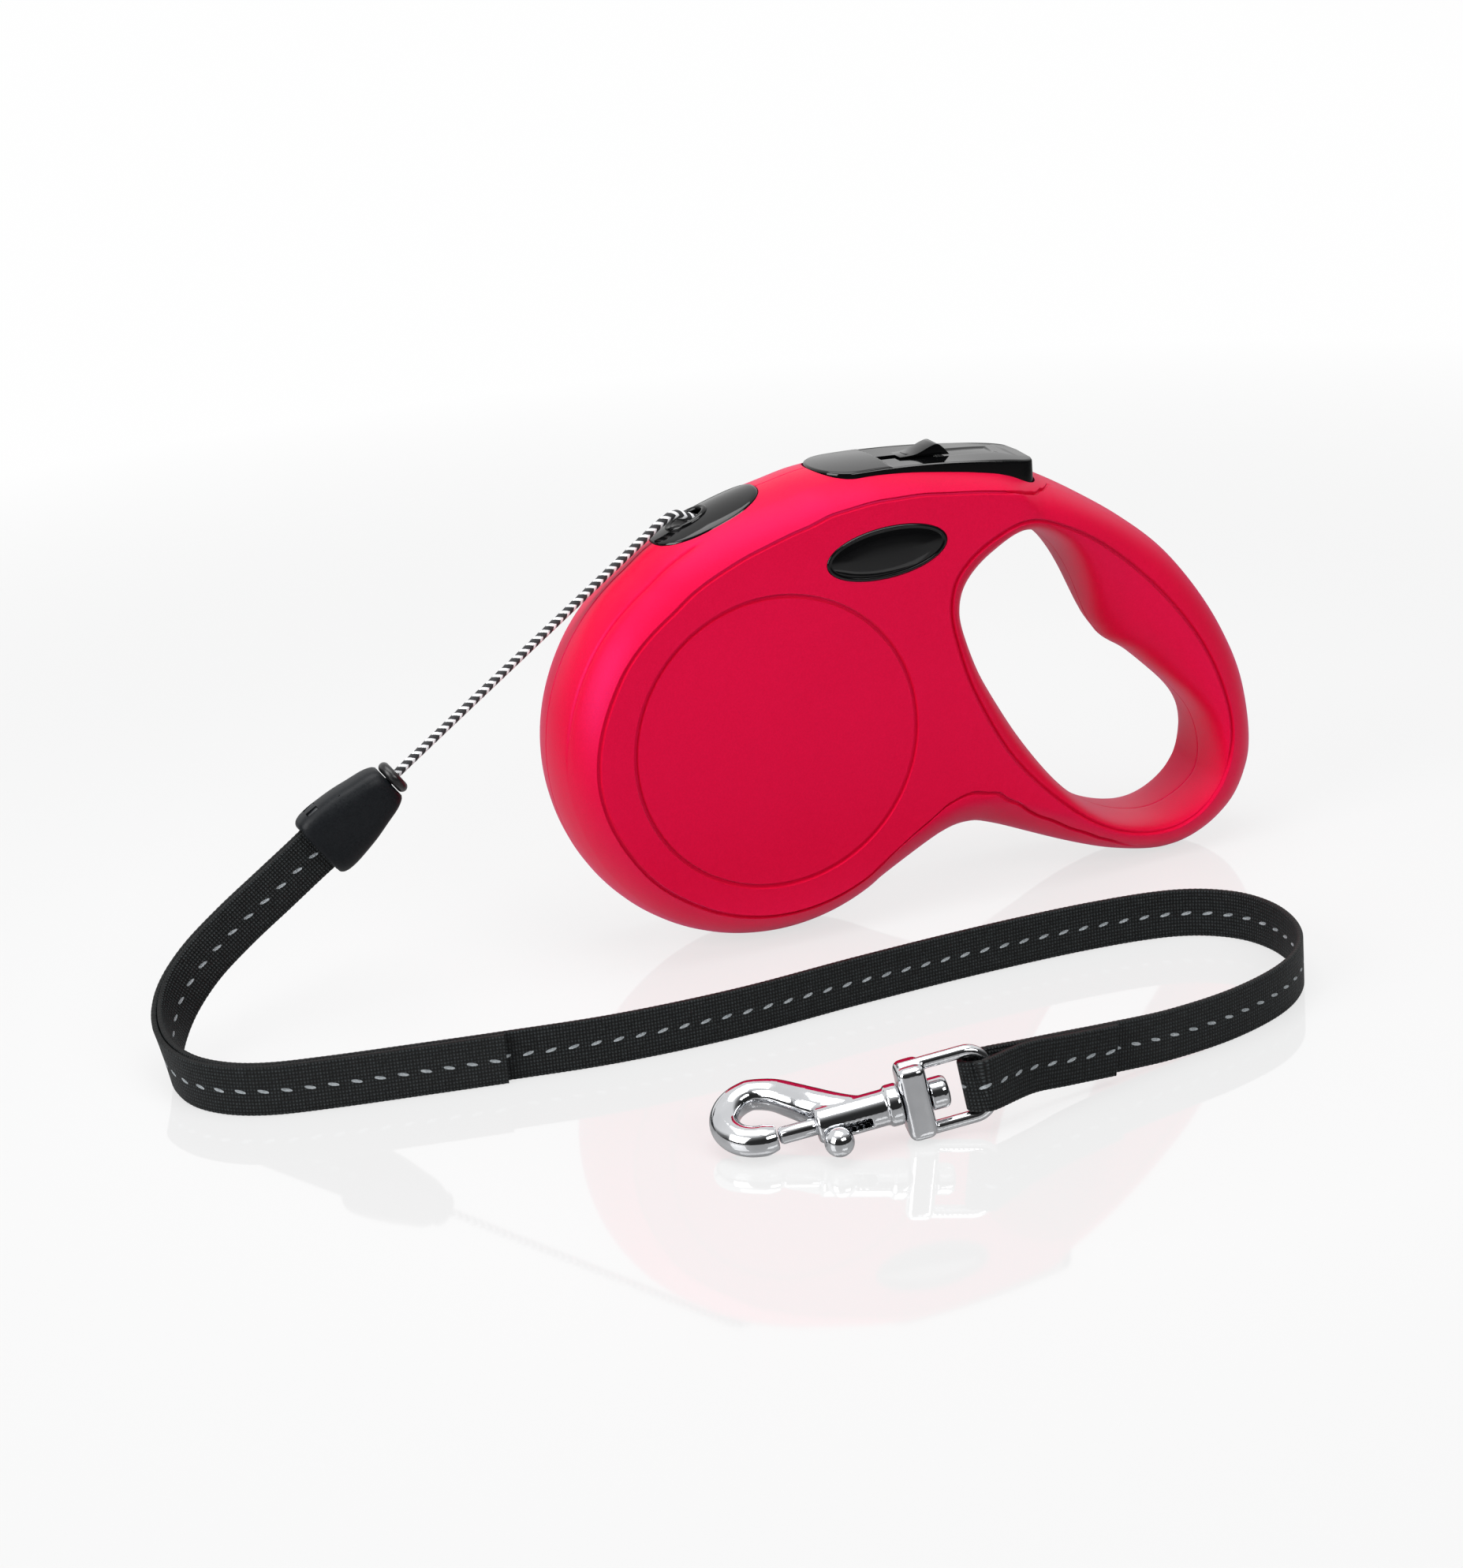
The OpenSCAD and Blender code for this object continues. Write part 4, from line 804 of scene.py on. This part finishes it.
GUIDE = [(0, 0.8), (0.1, 0.34), (0.35, 0.08), (0.7, 0)] + [(0.7 + 0.7 * k, 0) for k in range(1, 12)]
rings = [[(x, y, -5) for x, y in ellipse(GUIDE_A, GUIDE_B, full=GUIDE_FULL)]]
rings += [[(x, y, guide_top(x, y) - drop) for x, y in ellipse(GUIDE_A - c, GUIDE_B - c, full=GUIDE_FULL)]
          for c, drop in GUIDE]
HOLE_AT = MM @ Matrix.Translation((-12.8, 0, 103.1)) @ Matrix.Rotation(math.radians(180 + 25.9), 4, "Y")
flare = [(-30, 0), (-30, 2.4), (-2.4, 2.4), (-1, 2.5), (0.6, 2.9), (2, 3.6), (3.2, 4.5), (6, 6), (6, 0)]
LIP_X, LIP_A, LIP_B, LIP_WIRE, LIP_SINK = -4.1, 4.7, 3.5, 0.75, 0.15
lip = [Vector((LIP_X + x, y, guide_top(LIP_X + x, y) - LIP_SINK)) for x, y in ellipse(LIP_A, LIP_B, 64)]
lip = put(tube(lip, [LIP_WIRE] * len(lip), Vector((0, 0, 1)), closed=True), GUIDE_AT)
bm = cut(layered(rings, GUIDE_AT), lip, operation="UNION")
piece("cord_outlet", cut(bm, turned(flare, HOLE_AT, 64)), "housing", "black_gloss", gloss.material,
      "cord_guide", sharp=50)

# Brake button: a gloss black thumb lever with a crowned top, thin skirts, ribs for the pawl and a lug on the
# pivot pin. Behind its nose the top steps down to a thumb bed, where a slot takes the lock and a track runs
# to the rear.


def button_half(c):
    """Half of the button's edge, moved out by c, from its nose to the middle of its rear end."""
    r = max(CORNER + c, 0.02)
    x0, y0 = REAR_X + c - r, r - BUTTON_HALF - c
    nose = [(NOSE_X - NOSE_L * (1 + c / BUTTON_HALF) * math.cos(a), -(BUTTON_HALF + c) * math.sin(a)) for a in
            (math.pi / 2 * k / 16 for k in range(17))]
    side = [(NOSE_X + (x0 - NOSE_X) * k / 110, -BUTTON_HALF - c) for k in range(1, 110)]
    corner = [(x0 + r * math.sin(a), y0 - r * math.cos(a)) for a in (math.pi / 2 * k / 8 for k in range(9))]
    return nose + side + corner + [(REAR_X + c, 0)]


def button_edge(c):
    """The whole edge, moved out by c."""
    half = button_half(c)
    return half + [(x, -y) for x, y in reversed(half[1:-1])]


CROWN_X, CROWN_Z, CROWN_R, CROWN_RIM = 26, -120.5, 140, 90


def button_top(x, y):
    """The height of the crowned top, before the bed."""
    return CROWN_Z + math.sqrt((CROWN_R + math.sqrt(CROWN_RIM ** 2 - y * y)) ** 2 - (x - CROWN_X) ** 2)


BED, BED_FROM, BED_END, BED_RUN = 0.9, 35, 68.5, 22
TRACK_FROM, TRACK_END, TRACK_HALF, TRACK_DEEP = 51, 65, 3.6, 0.35


def thumb_bed(x, y):
    """The crowned top with its bed and track sunk in."""
    bed = ease((x - BED_FROM) / 0.7) * (1 - 0.75 * (y / BUTTON_HALF) ** 2) * ease((BED_END - x) / BED_RUN)
    track = ease((TRACK_HALF - math.hypot(x - min(max(x, TRACK_FROM), TRACK_END), y)) / 0.8)
    return button_top(x, y) - BED * bed - TRACK_DEEP * track


def skirt_end(x):
    """The height of the skirt's lower edge, which rises from its lowest point to both ends."""
    lowest_x, lowest_z, highest_z = 45, 102, 103.6
    return min(highest_z, lowest_z + (lowest_x - x) * (0.08 if x < lowest_x else 0.187))


def sewn(bm, row):
    """Closes a ring that is even on both sides of the middle with a strip of faces."""
    n = len(row)
    bm.faces.new((row[0], row[1], row[-1]))
    for k in range(1, n // 2 - 1):
        bm.faces.new((row[k], row[k + 1], row[n - k - 1], row[n - k]))
    bm.faces.new((row[n // 2 - 1], row[n // 2], row[n // 2 + 1]))


insets = [0.55, 0.9] + [1.3 + 0.4 * k for k in range(12)] + [6 + 0.3 * k for k in range(15)]
ROOF, SKIRT = 3.2, 1.5
levels = [(-c, lambda x, y: button_top(x, y) - ROOF) for c in (10.4, 8, 6, 4, SKIRT)]
levels += [(c, lambda x, y: skirt_end(x)) for c in (-SKIRT, 0)]
levels += [(-c, lambda x, y, drop=drop: button_top(x, y) - drop)
           for c, drop in ((0, 0.75), (0.06, 0.42), (0.24, 0.14))]
levels += [(-c, thumb_bed) for c in insets]
bm = bmesh.new()
rows = skin(bm, [[at(x, y, level(x, y)) for x, y in button_edge(c)] for c, level in levels])
sewn(bm, rows[0])
sewn(bm, rows[-1])
bmesh.ops.recalc_face_normals(bm, faces=bm.faces)
SLIDE_TURN = Matrix.Rotation(math.radians(5.5), 4, "Y")
slide_up, slide_back = SLIDE_TURN @ Vector((0, 0, 1)), SLIDE_TURN @ Vector((1, 0, 0))
slide_from = Vector((CROWN_X, 0, CROWN_Z)) + slide_up * (CROWN_R + CROWN_RIM - BED) - slide_back * 13.5
SLIDE = MM @ Matrix.Translation(slide_from) @ SLIDE_TURN
slot = [(1.5, -1.75), (15.7, -1.75), (15.7, 1.75), (1.5, 1.75)]
bm = cut(bm, prism(slot, -8, 4, SLIDE))
UPRIGHT = MM @ Matrix.Rotation(math.radians(90), 4, "X")
for side in (-1, 1):
    add_to(bm, prism([(33, 102.9), (45, 102), (45, 106), (33, 106.8)], 7 * side - 1, 7 * side + 1, UPRIGHT))
lug = prism([(19.4, 97.2), (26.8, 97.2), (26.8, 107.2), (19.4, 107.2)], -4.5, 4.5, UPRIGHT)
PIVOT_X, PIVOT_Z, PIVOT_R = 22, 100, 1.35
pivot_bore = turned([(-6, 0), (-6, PIVOT_R), (6, PIVOT_R), (6, 0)], crosswise(PIVOT_X, PIVOT_Z), 40)
add_to(bm, cut(lug, pivot_bore))
piece("thumb_button", bm, "button", "black_gloss", gloss.material, "brake_button", sharp=35)

# Lock: a gloss black wedge that the thumb pushes along the slot. Its neck goes through the button's roof and
# its foot holds it from below.


def soften(bm, offset, segments=3, least=40):
    """Rounds the edges that turn by more than the least angle."""
    edges = [e for e in bm.edges if len(e.link_faces) == 2 and e.calc_face_angle() > math.radians(least)]
    bmesh.ops.bevel(bm, geom=edges, offset=offset / 1000, offset_type="OFFSET", segments=segments,
                    profile=0.5, affect="EDGES", clamp_overlap=True, material=-1)
    return bm


fin_marks = ((6, 0.3), (10, 0.8), (13.6, 2.45), (15.4, 2.9), (16.9, 2), (18.6, 0.3))
fin = [(p.x, p.y) for p in flowing([Vector(p) for p in fin_marks], 8)]
ON_SIDE = SLIDE @ Matrix.Rotation(math.radians(90), 4, "X")
FIN_HALF, NECK_HALF, LOCK_END = 3, 1.6, 15.1
neck = [(8, -3.2), (LOCK_END, -3.2), (LOCK_END, 0.6), (8, 0.6)]
foot = [(6, -4.1), (LOCK_END, -4.1), (LOCK_END, -2.85), (6, -2.85)]
bm = soften(prism(fin, -FIN_HALF, FIN_HALF, ON_SIDE), 0.35)
add_to(bm, soften(prism(neck, -NECK_HALF, NECK_HALF, ON_SIDE), 0.1, 2))
add_to(bm, soften(prism(foot, -FIN_HALF, FIN_HALF, ON_SIDE), 0.15, 2))
piece("lock_fin", bm, "slider", "black_gloss", gloss.material, "lock_slider", sharp=35)

# Bumper ring: a moulded ring of black rubber on the cord, in front of the connector. It softens the stop
# against the outlet when the cord is wound in.
conn_at = cord_bend + cord_run * CONNECTOR_U
CONN = MM @ Matrix.Translation(conn_at) @ Matrix((cord_run, (0, -1, 0), pin_up)).transposed().to_4x4()
rubber = Finish("black_rubber", Roughness=0.3)
skid = rubber.noise(500, 3)
rubber.colour(skid, (0.3, (0.006, 0.006, 0.007)), (0.7, (0.013, 0.013, 0.014)))
rubber.vary("Roughness", skid, 0.2, 0.4)
BUMPER_U, BUMPER_R, BUMPER_WIRE = -1.4, 2.95, 1.25
torus = [(BUMPER_U + BUMPER_WIRE * math.cos(a), BUMPER_R + BUMPER_WIRE * math.sin(a))
         for a in (2 * math.pi * k / 24 for k in range(25))]
stop_ring = piece("rubber_stop", turned(torus, CONN, 56), "housing", "black_rubber", rubber.material,
                  "bumper_ring")

# Connector: a matt black sleeve, tapered to the cord and flattened to the strap. It is snapped over the core,
# whose two tongues show in its windows.
matt = Finish("matt_black_plastic", Roughness=0.45, Specular_IOR_Level=0.2)
grain = matt.noise(2400, 2)
matt.colour(grain, (0.3, (0.0045, 0.0055, 0.007)), (0.7, (0.008, 0.0095, 0.0115)))
matt.vary("Roughness", grain, 0.3, 0.52)
matt.bump(grain, 0.22, 0.00015)
CONN_L, CONN_HALF_T, CONN_HALF_W, CONN_FULL = 22, 4.9, 8.4, 0.62
# the place along the sleeve, and its width and thickness there, as parts of the whole
conn_marks = [Vector(p) for p in (
    (0, 0.5, 0.6), (0.035, 0.59, 0.75), (0.13, 0.69, 0.89), (0.3, 0.79, 0.95), (0.5, 0.905, 0.99),
    (0.75, 0.99, 1), (0.88, 1, 0.96), (0.95, 0.965, 0.9), (0.985, 0.9, 0.83), (1, 0.83, 0.74))]
rings = [[(CONN_L * m.x, CONN_HALF_T * m.z * y, CONN_HALF_W * m.y * z)
          for y, z in ellipse(1, 1, 56, CONN_FULL)] for m in flowing(conn_marks, 5)]
CORD_HOLE = 1.25
tools = [prism([(10, -3), (30, -3), (30, 3), (10, 3)], -7, 7, CONN),
         turned([(-9, 0), (-9, CORD_HOLE), (12, CORD_HOLE), (12, 0)], CONN, 32)]
for middle in (-1.6, 1.6):
    low, high = middle - 0.8, middle + 0.8
    tools.append(prism([(15.5, low), (18.5, low), (18.5, high), (15.5, high)], 5, 12, CONN))
sleeve = piece("connector_sleeve", cut(layered(rings, CONN), *tools), "housing", "black_matt", matt.material,
               "connector_shell", sharp=40)

# Swivel eye: a cast and chromed block that turns on the hook's stem, with two side wires and a bar that the
# strap goes round.
EYE = MM @ Matrix.Translation(swivel_at) @ hook_to_world.to_4x4()
chrome = Finish("polished_chrome", Metallic=1.0, Roughness=0.07)
cast = chrome.noise(120, 3)
chrome.colour(cast, (0.3, (0.60, 0.61, 0.63)), (0.7, (0.71, 0.72, 0.74)))
chrome.vary("Roughness", cast, 0.04, 0.1)
chrome.bump(chrome.noise(260, 2), 0.06, 0.00025)


def cast_in_one(bm, size, rounds):
    """Flows joined solids into one skin with soft inner corners, as casting and polishing leave it."""
    obj = scratch(bm)
    remesh = obj.modifiers.new("one_skin", "REMESH")
    remesh.mode, remesh.voxel_size = "VOXEL", size / 1000
    polish = obj.modifiers.new("polish", "SMOOTH")
    polish.factor, polish.iterations = 0.5, rounds
    return settled(obj)


def arc(cx, cy, r, start, end, steps=12):
    """Points on an arc, from one angle to another in degrees."""
    return [(cx + r * math.cos(a), cy + r * math.sin(a))
            for a in (math.radians(start + (end - start) * k / steps) for k in range(steps + 1))]


EYE_WIRE, STEM_ROOM = 1.4, 2.5
wire = [(2, 7.4), (-5, 7.4)] + arc(-11.6, 3.4, 4, 90, 180)
wire += arc(-11.6, -3.4, 4, 180, 270) + [(-5, -7.4), (2, -7.4)]
bail = tube([Vector((u, 0, w)) for u, w in wire], [EYE_WIRE] * len(wire), Vector((0, 1, 0)))
bm = soften(prism([(-3, -4), (3, -4), (3, 4), (-3, 4)], -8.2, 8.2, EYE), 1.8, 5)
bm = cut(bm, put(bail, EYE), operation="UNION")
bm = cut(bm, turned([(-9, 0), (-9, STEM_ROOM), (9, STEM_ROOM), (9, 0)], EYE, 48))
eye = piece("swivel_eye_chrome", cast_in_one(bm, 0.22, 10), "eye", "chrome", chrome.material, "swivel_eye",
            sharp=180)

# Bolt snap: a chromed casting. Its stem is riveted through the eye, and its shank carries the open ring and
# the bore and slot for the bolt.
HOOK = EYE @ Matrix.Rotation(math.radians(-17), 4, "X")
shank = [(-7.05, 0), (-7.05, 2.5), (-6.7, 3.1), (-6, 3.4), (-3.1, 3.4), (-3.1, 2.2), (3.1, 2.2), (3.1, 4.1),
         (3.4, 4.4), (5.7, 4.4), (6.05, 4.1), (6.05, 3.8), (20.4, 3.8), (21, 3.3), (21, 0)]
# the ring's line and its radius, from the shank round to the tip that the bolt meets
far_end = [(u, v, 3.2) for u, v in arc(31.4, -7.2, 7.2, -90, 90, 14)]
ring_marks = [(10, -0.2, 3.3), (13, -0.9, 3.7), (16.5, -2.8, 4), (20, -5.7, 4), (23.5, -9.2, 3.7),
              (27.2, -12.6, 3.4)]
ring_line = flowing([Vector(p) for p in ring_marks + far_end + [(29.2, 0, 2.6)]], 4)
ring = tube([Vector((p.x, p.y, 0)) for p in ring_line], [p.z for p in ring_line], Vector((0, 0, 1)))
bm = cut(turned(shank, HOOK, 64), put(ring, HOOK), operation="UNION")
BORE_R, SLOT_HALF = 2, 1.2
bm = cut(bm, turned([(7.2, 0), (7.2, BORE_R), (24, BORE_R), (24, 0)], HOOK, 48),
         prism([(9.8, 0), (18.9, 0), (18.9, 9), (9.8, 9)], -SLOT_HALF, SLOT_HALF, HOOK))
hook = piece("snap_hook", cast_in_one(bm, 0.24, 8), "hook", "chrome", chrome.material, "hook_body", sharp=180)

# Bolt: a turned and chromed rod that slides in the shank and closes the ring. Its round knob is riveted on
# through the slot, for the thumb.
rod = [(16, 0), (16, 1.5), (16.3, 1.8), (28.2, 1.8), (28.7, 1.5), (28.9, 1), (28.9, 0)]
bolt = piece("snap_bolt", turned(rod, HOOK, 40), "bolt", "chrome", chrome.material, "hook_bolt", sharp=50)
BALL_AT, BALL_R = 6.37, 3.1
knob = [(1.5, 0), (1.5, 1), (4.2, 1), (4.2, 2), (4.4, 2.35)]
knob += [(BALL_AT - BALL_R * math.cos(a), BALL_R * math.sin(a))
         for a in (math.radians(56 + 124 * k / 16) for k in range(17))]
KNOB = HOOK @ Matrix.Translation((17.6, 0, 0)) @ Matrix.Rotation(math.radians(90), 4, "Z")
thumb_knob = piece("thumb_knob", turned(knob, KNOB, 48), "bolt", "chrome", chrome.material, "bolt_knob",
                   sharp=50)

# Case screws: four bright steel screws with a cross recess. They are sunk in the bosses of the rear half and
# hold it to the front half.
steel = Finish("bright_steel", Metallic=1.0, Roughness=0.25)
turning = steel.noise(900, 3)
steel.colour(turning, (0.3, (0.48, 0.48, 0.49)), (0.7, (0.6, 0.6, 0.61)))
steel.vary("Roughness", turning, 0.18, 0.34)
screw = [(-7, 0), (-7, 1), (-6.4, 1.4), (4.05, 1.4), (4.05, 2.4), (5.4, 2.4), (5.85, 2.1), (6.1, 1.2),
         (6.15, 0)]
CROSS_HALF, CROSS_REACH = 0.35, 1.5
bm = bmesh.new()
for x, z in SCREWS:
    place = crosswise(x, z)
    bars = [prism([(5, -a), (8, -a), (8, a), (5, a)], -b, b, place)
            for a, b in ((CROSS_HALF, CROSS_REACH), (CROSS_REACH, CROSS_HALF))]
    add_to(bm, cut(turned(screw, place, 40), *bars))
piece("case_screws", bm, "housing", "steel", steel.material, "shell_screws", sharp=40)

# Wound cord: the turns of the braid that lie on the drum, in six rows between its flanges. The mainspring in
# the drum winds them on.
low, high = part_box("wound_cord")
wound_r, drum_half = (high[0] - low[0]) * 500, (high[1] - low[1]) * 500
ROWS, DRUM_R = 6, 27.6
pitch = 2 * drum_half / ROWS
coil = [(-drum_half, DRUM_R)]
for k in range(ROWS):
    coil += [(-drum_half + pitch * (k + 0.5 - 0.5 * math.cos(a)), wound_r - 1 + math.sin(a))
             for a in (math.pi * j / 8 for j in range(9))]
coil += [(drum_half, DRUM_R), (-drum_half, DRUM_R)]
lay = Finish("wound_braid", Roughness=0.75)
strand = lay.node("TexWave", Scale=420, Distortion=1.5, Detail=2)
lay.join(lay.place(), strand.inputs["Vector"])
lay.colour(strand.outputs["Fac"], (0.35, (0.015, 0.015, 0.017)), (0.55, (0.75, 0.75, 0.77)))
lay.bump(strand.outputs["Fac"], 0.3, 0.0002)
piece("cord_turns", turned(coil, crosswise(0, REEL_R), 128), "spool", "cord_braid", lay.material,
      "wound_cord", sharp=60)

# Inner parts: the drum and its cover, pawl and connector core in moulded grey, the axle and pins in steel,
# and two springs in dark spring steel. They show only where a gap or an opening lets one see in.
grey = Finish("moulded_grey", Roughness=0.45)
flow = grey.noise(800, 3)
grey.colour(flow, (0.3, (0.03, 0.032, 0.035)), (0.7, (0.05, 0.053, 0.057)))
grey.vary("Roughness", flow, 0.36, 0.55)
blued = Finish("spring_steel", Metallic=1.0, Roughness=0.3)
scale = blued.noise(700, 3)
blued.colour(scale, (0.3, (0.2, 0.21, 0.23)), (0.7, (0.33, 0.34, 0.36)))
blued.vary("Roughness", scale, 0.22, 0.4)
for finish, slot, names in (
        (grey, "grey_plastic", ("spool", "spring_cover", "brake_pawl", "connector_insert")),
        (steel, "steel", ("spool_axle", "button_pin", "strap_pin")),
        (blued, "steel", ("mainspring", "button_spring"))):
    for name in names:
        nodes[name].data.materials.clear()
        nodes[name].data.materials.append(finish.material)

# Gate spring: a coil of spring steel in the shank that pushes the bolt shut. It closes up when the bolt is
# drawn back, but here it is one fixed coil that rides on the hook at its full length.
COIL_TURNS, COIL_FROM, COIL_L, COIL_R, COIL_WIRE, COIL_STEPS = 6, 7.5, 8.2, 1.45, 0.25, 144
turns = [2 * math.pi * COIL_TURNS * k / COIL_STEPS for k in range(COIL_STEPS + 1)]
coil = [Vector((COIL_FROM + COIL_L * k / COIL_STEPS, COIL_R * math.cos(a), COIL_R * math.sin(a)))
        for k, a in enumerate(turns)]
bm = put(tube(coil, [COIL_WIRE] * len(coil), Vector((1, 0, 0)), sides=8), HOOK)
gate_spring = piece("gate_spring", bm, "hook", "steel", blued.material, "bolt_spring", sharp=180)
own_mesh(gate_spring)

# Floor and light: a white studio floor that keeps a soft shadow, one broad light over the leash, one at the
# cord side and one at the front, in a room that is bright above and dim at eye level.
floor_bm = bmesh.new()
bmesh.ops.create_grid(floor_bm, x_segments=2, y_segments=2, size=4)
floor_mesh = bpy.data.meshes.new("floor")
floor_bm.to_mesh(floor_mesh)
floor_bm.free()
floor = bpy.data.objects.new("floor", floor_mesh)
bpy.context.collection.objects.link(floor)
white = Finish("white_floor", Roughness=0.5)
glow = white.node("Emission", Color=(1, 1, 1, 1), Strength=1.0)
mirror = white.node("BsdfGlossy", Color=(1, 1, 1, 1), Roughness=0.04)
mixed, top = white.node("MixShader"), white.node("MixShader", Fac=0.09)
path, near = white.node("LightPath"), white.node("MapRange")
reach = white.node("VectorMath", operation="LENGTH")
white.join(white.place(), reach.inputs[0])
white.join(reach.outputs["Value"], near.inputs["Value"])
for socket, value in (("From Min", 0.2), ("From Max", 0.6), ("To Min", 1.0), ("To Max", 0.0)):
    near.inputs[socket].default_value = value
lit = near.outputs["Result"]
# near the leash the floor is a pale surface that takes its shadow, and further off it glows white
by_camera, by_gloss = path.outputs["Is Camera Ray"], path.outputs["Is Glossy Ray"]
dimmed = white.sum("MULTIPLY_ADD", by_gloss, -0.6, 1.0)
white.join(white.sum("MULTIPLY", white.sum("MULTIPLY_ADD", lit, 0.55, 0.05), dimmed),
           white.shader.inputs["Base Color"])
seen = white.sum("MULTIPLY", by_camera, white.sum("MULTIPLY_ADD", lit, -0.24, 1.0))
mirrored = white.sum("MULTIPLY", by_gloss, white.sum("MULTIPLY_ADD", lit, 0.2, 0.03))
white.join(white.sum("ADD", seen, mirrored), mixed.inputs["Fac"])
white.join(white.shader.outputs[0], mixed.inputs[1])
white.join(glow.outputs[0], mixed.inputs[2])
white.join(mixed.outputs[0], top.inputs[1])
white.join(mirror.outputs[0], top.inputs[2])
white.join(top.outputs[0], white.tree.nodes["Material Output"].inputs["Surface"])
floor_mesh.materials.append(white.material)


def soft_light(name, where, aim, width, depth, watts):
    light = bpy.data.lights.new(name, "AREA")
    light.shape, light.size, light.size_y, light.energy = "RECTANGLE", width, depth, watts
    obj = bpy.data.objects.new(name, light)
    turn = (Vector(aim) - Vector(where)).to_track_quat("-Z", "Y").to_matrix().to_4x4()
    obj.matrix_world = Matrix.Translation(where) @ turn
    bpy.context.collection.objects.link(obj)


soft_light("over", (-0.1, -0.1, 1.1), (0, 0, 0.05), 1.0, 0.8, 9)
soft_light("cord_side", (-0.95, -0.35, 0.5), (0, 0, 0.06), 0.6, 0.7, 8)
soft_light("front", (0.35, -1.2, 0.9), (0, 0, 0.05), 0.9, 0.4, 7.5)
bpy.context.scene.world = bpy.context.scene.world or bpy.data.worlds.new("World")
room = bpy.context.scene.world
room.use_nodes = True
tree = room.node_tree
tree.nodes.clear()
out, fill, seen = (tree.nodes.new("ShaderNode" + kind)
                   for kind in ("OutputWorld", "Background", "Background"))
fill.inputs["Color"].default_value, fill.inputs["Strength"].default_value = (0.95, 0.97, 1, 1), 0.25
seen.inputs["Strength"].default_value = 1.0
ramp, height, way = (tree.nodes.new("ShaderNode" + kind) for kind in ("ValToRGB", "SeparateXYZ", "TexCoord"))
stops = ((0.0, 0.03), (0.2, 0.06), (0.45, 0.25), (0.7, 0.95))
while len(ramp.color_ramp.elements) < len(stops):
    ramp.color_ramp.elements.new(0.5)
for end, (position, level) in zip(ramp.color_ramp.elements, stops):
    end.position, end.color = position, (level, level, level, 1)
tree.links.new(way.outputs["Generated"], height.inputs[0])
lean = tree.nodes.new("ShaderNodeMath")
lean.operation = "MULTIPLY_ADD"
lean.inputs[1].default_value = 0.65
tree.links.new(height.outputs["Y"], lean.inputs[0])
tree.links.new(height.outputs["Z"], lean.inputs[2])
tree.links.new(lean.outputs[0], ramp.inputs["Fac"])
path, shown, choose = (tree.nodes.new("ShaderNode" + kind) for kind in ("LightPath", "Mix", "MixShader"))
shown.data_type = "RGBA"
tree.links.new(path.outputs["Is Camera Ray"], shown.inputs["Factor"])
tree.links.new(ramp.outputs["Color"], shown.inputs["A"])
shown.inputs["B"].default_value = (1, 1, 1, 1)
tree.links.new(shown.outputs["Result"], seen.inputs["Color"])
either = tree.nodes.new("ShaderNodeMath")
either.operation = "MAXIMUM"
tree.links.new(path.outputs["Is Camera Ray"], either.inputs[0])
tree.links.new(path.outputs["Is Glossy Ray"], either.inputs[1])
tree.links.new(either.outputs[0], choose.inputs["Fac"])
tree.links.new(fill.outputs[0], choose.inputs[1])
tree.links.new(seen.outputs[0], choose.inputs[2])
tree.links.new(choose.outputs[0], out.inputs["Surface"])
bpy.context.scene.view_settings.view_transform = "Standard"

# The strap's middle line, from the connector's pin along the strap to the eye's bar.
mid_line = flowing([pin_at] + strap_mid + [eye_bar], 8)
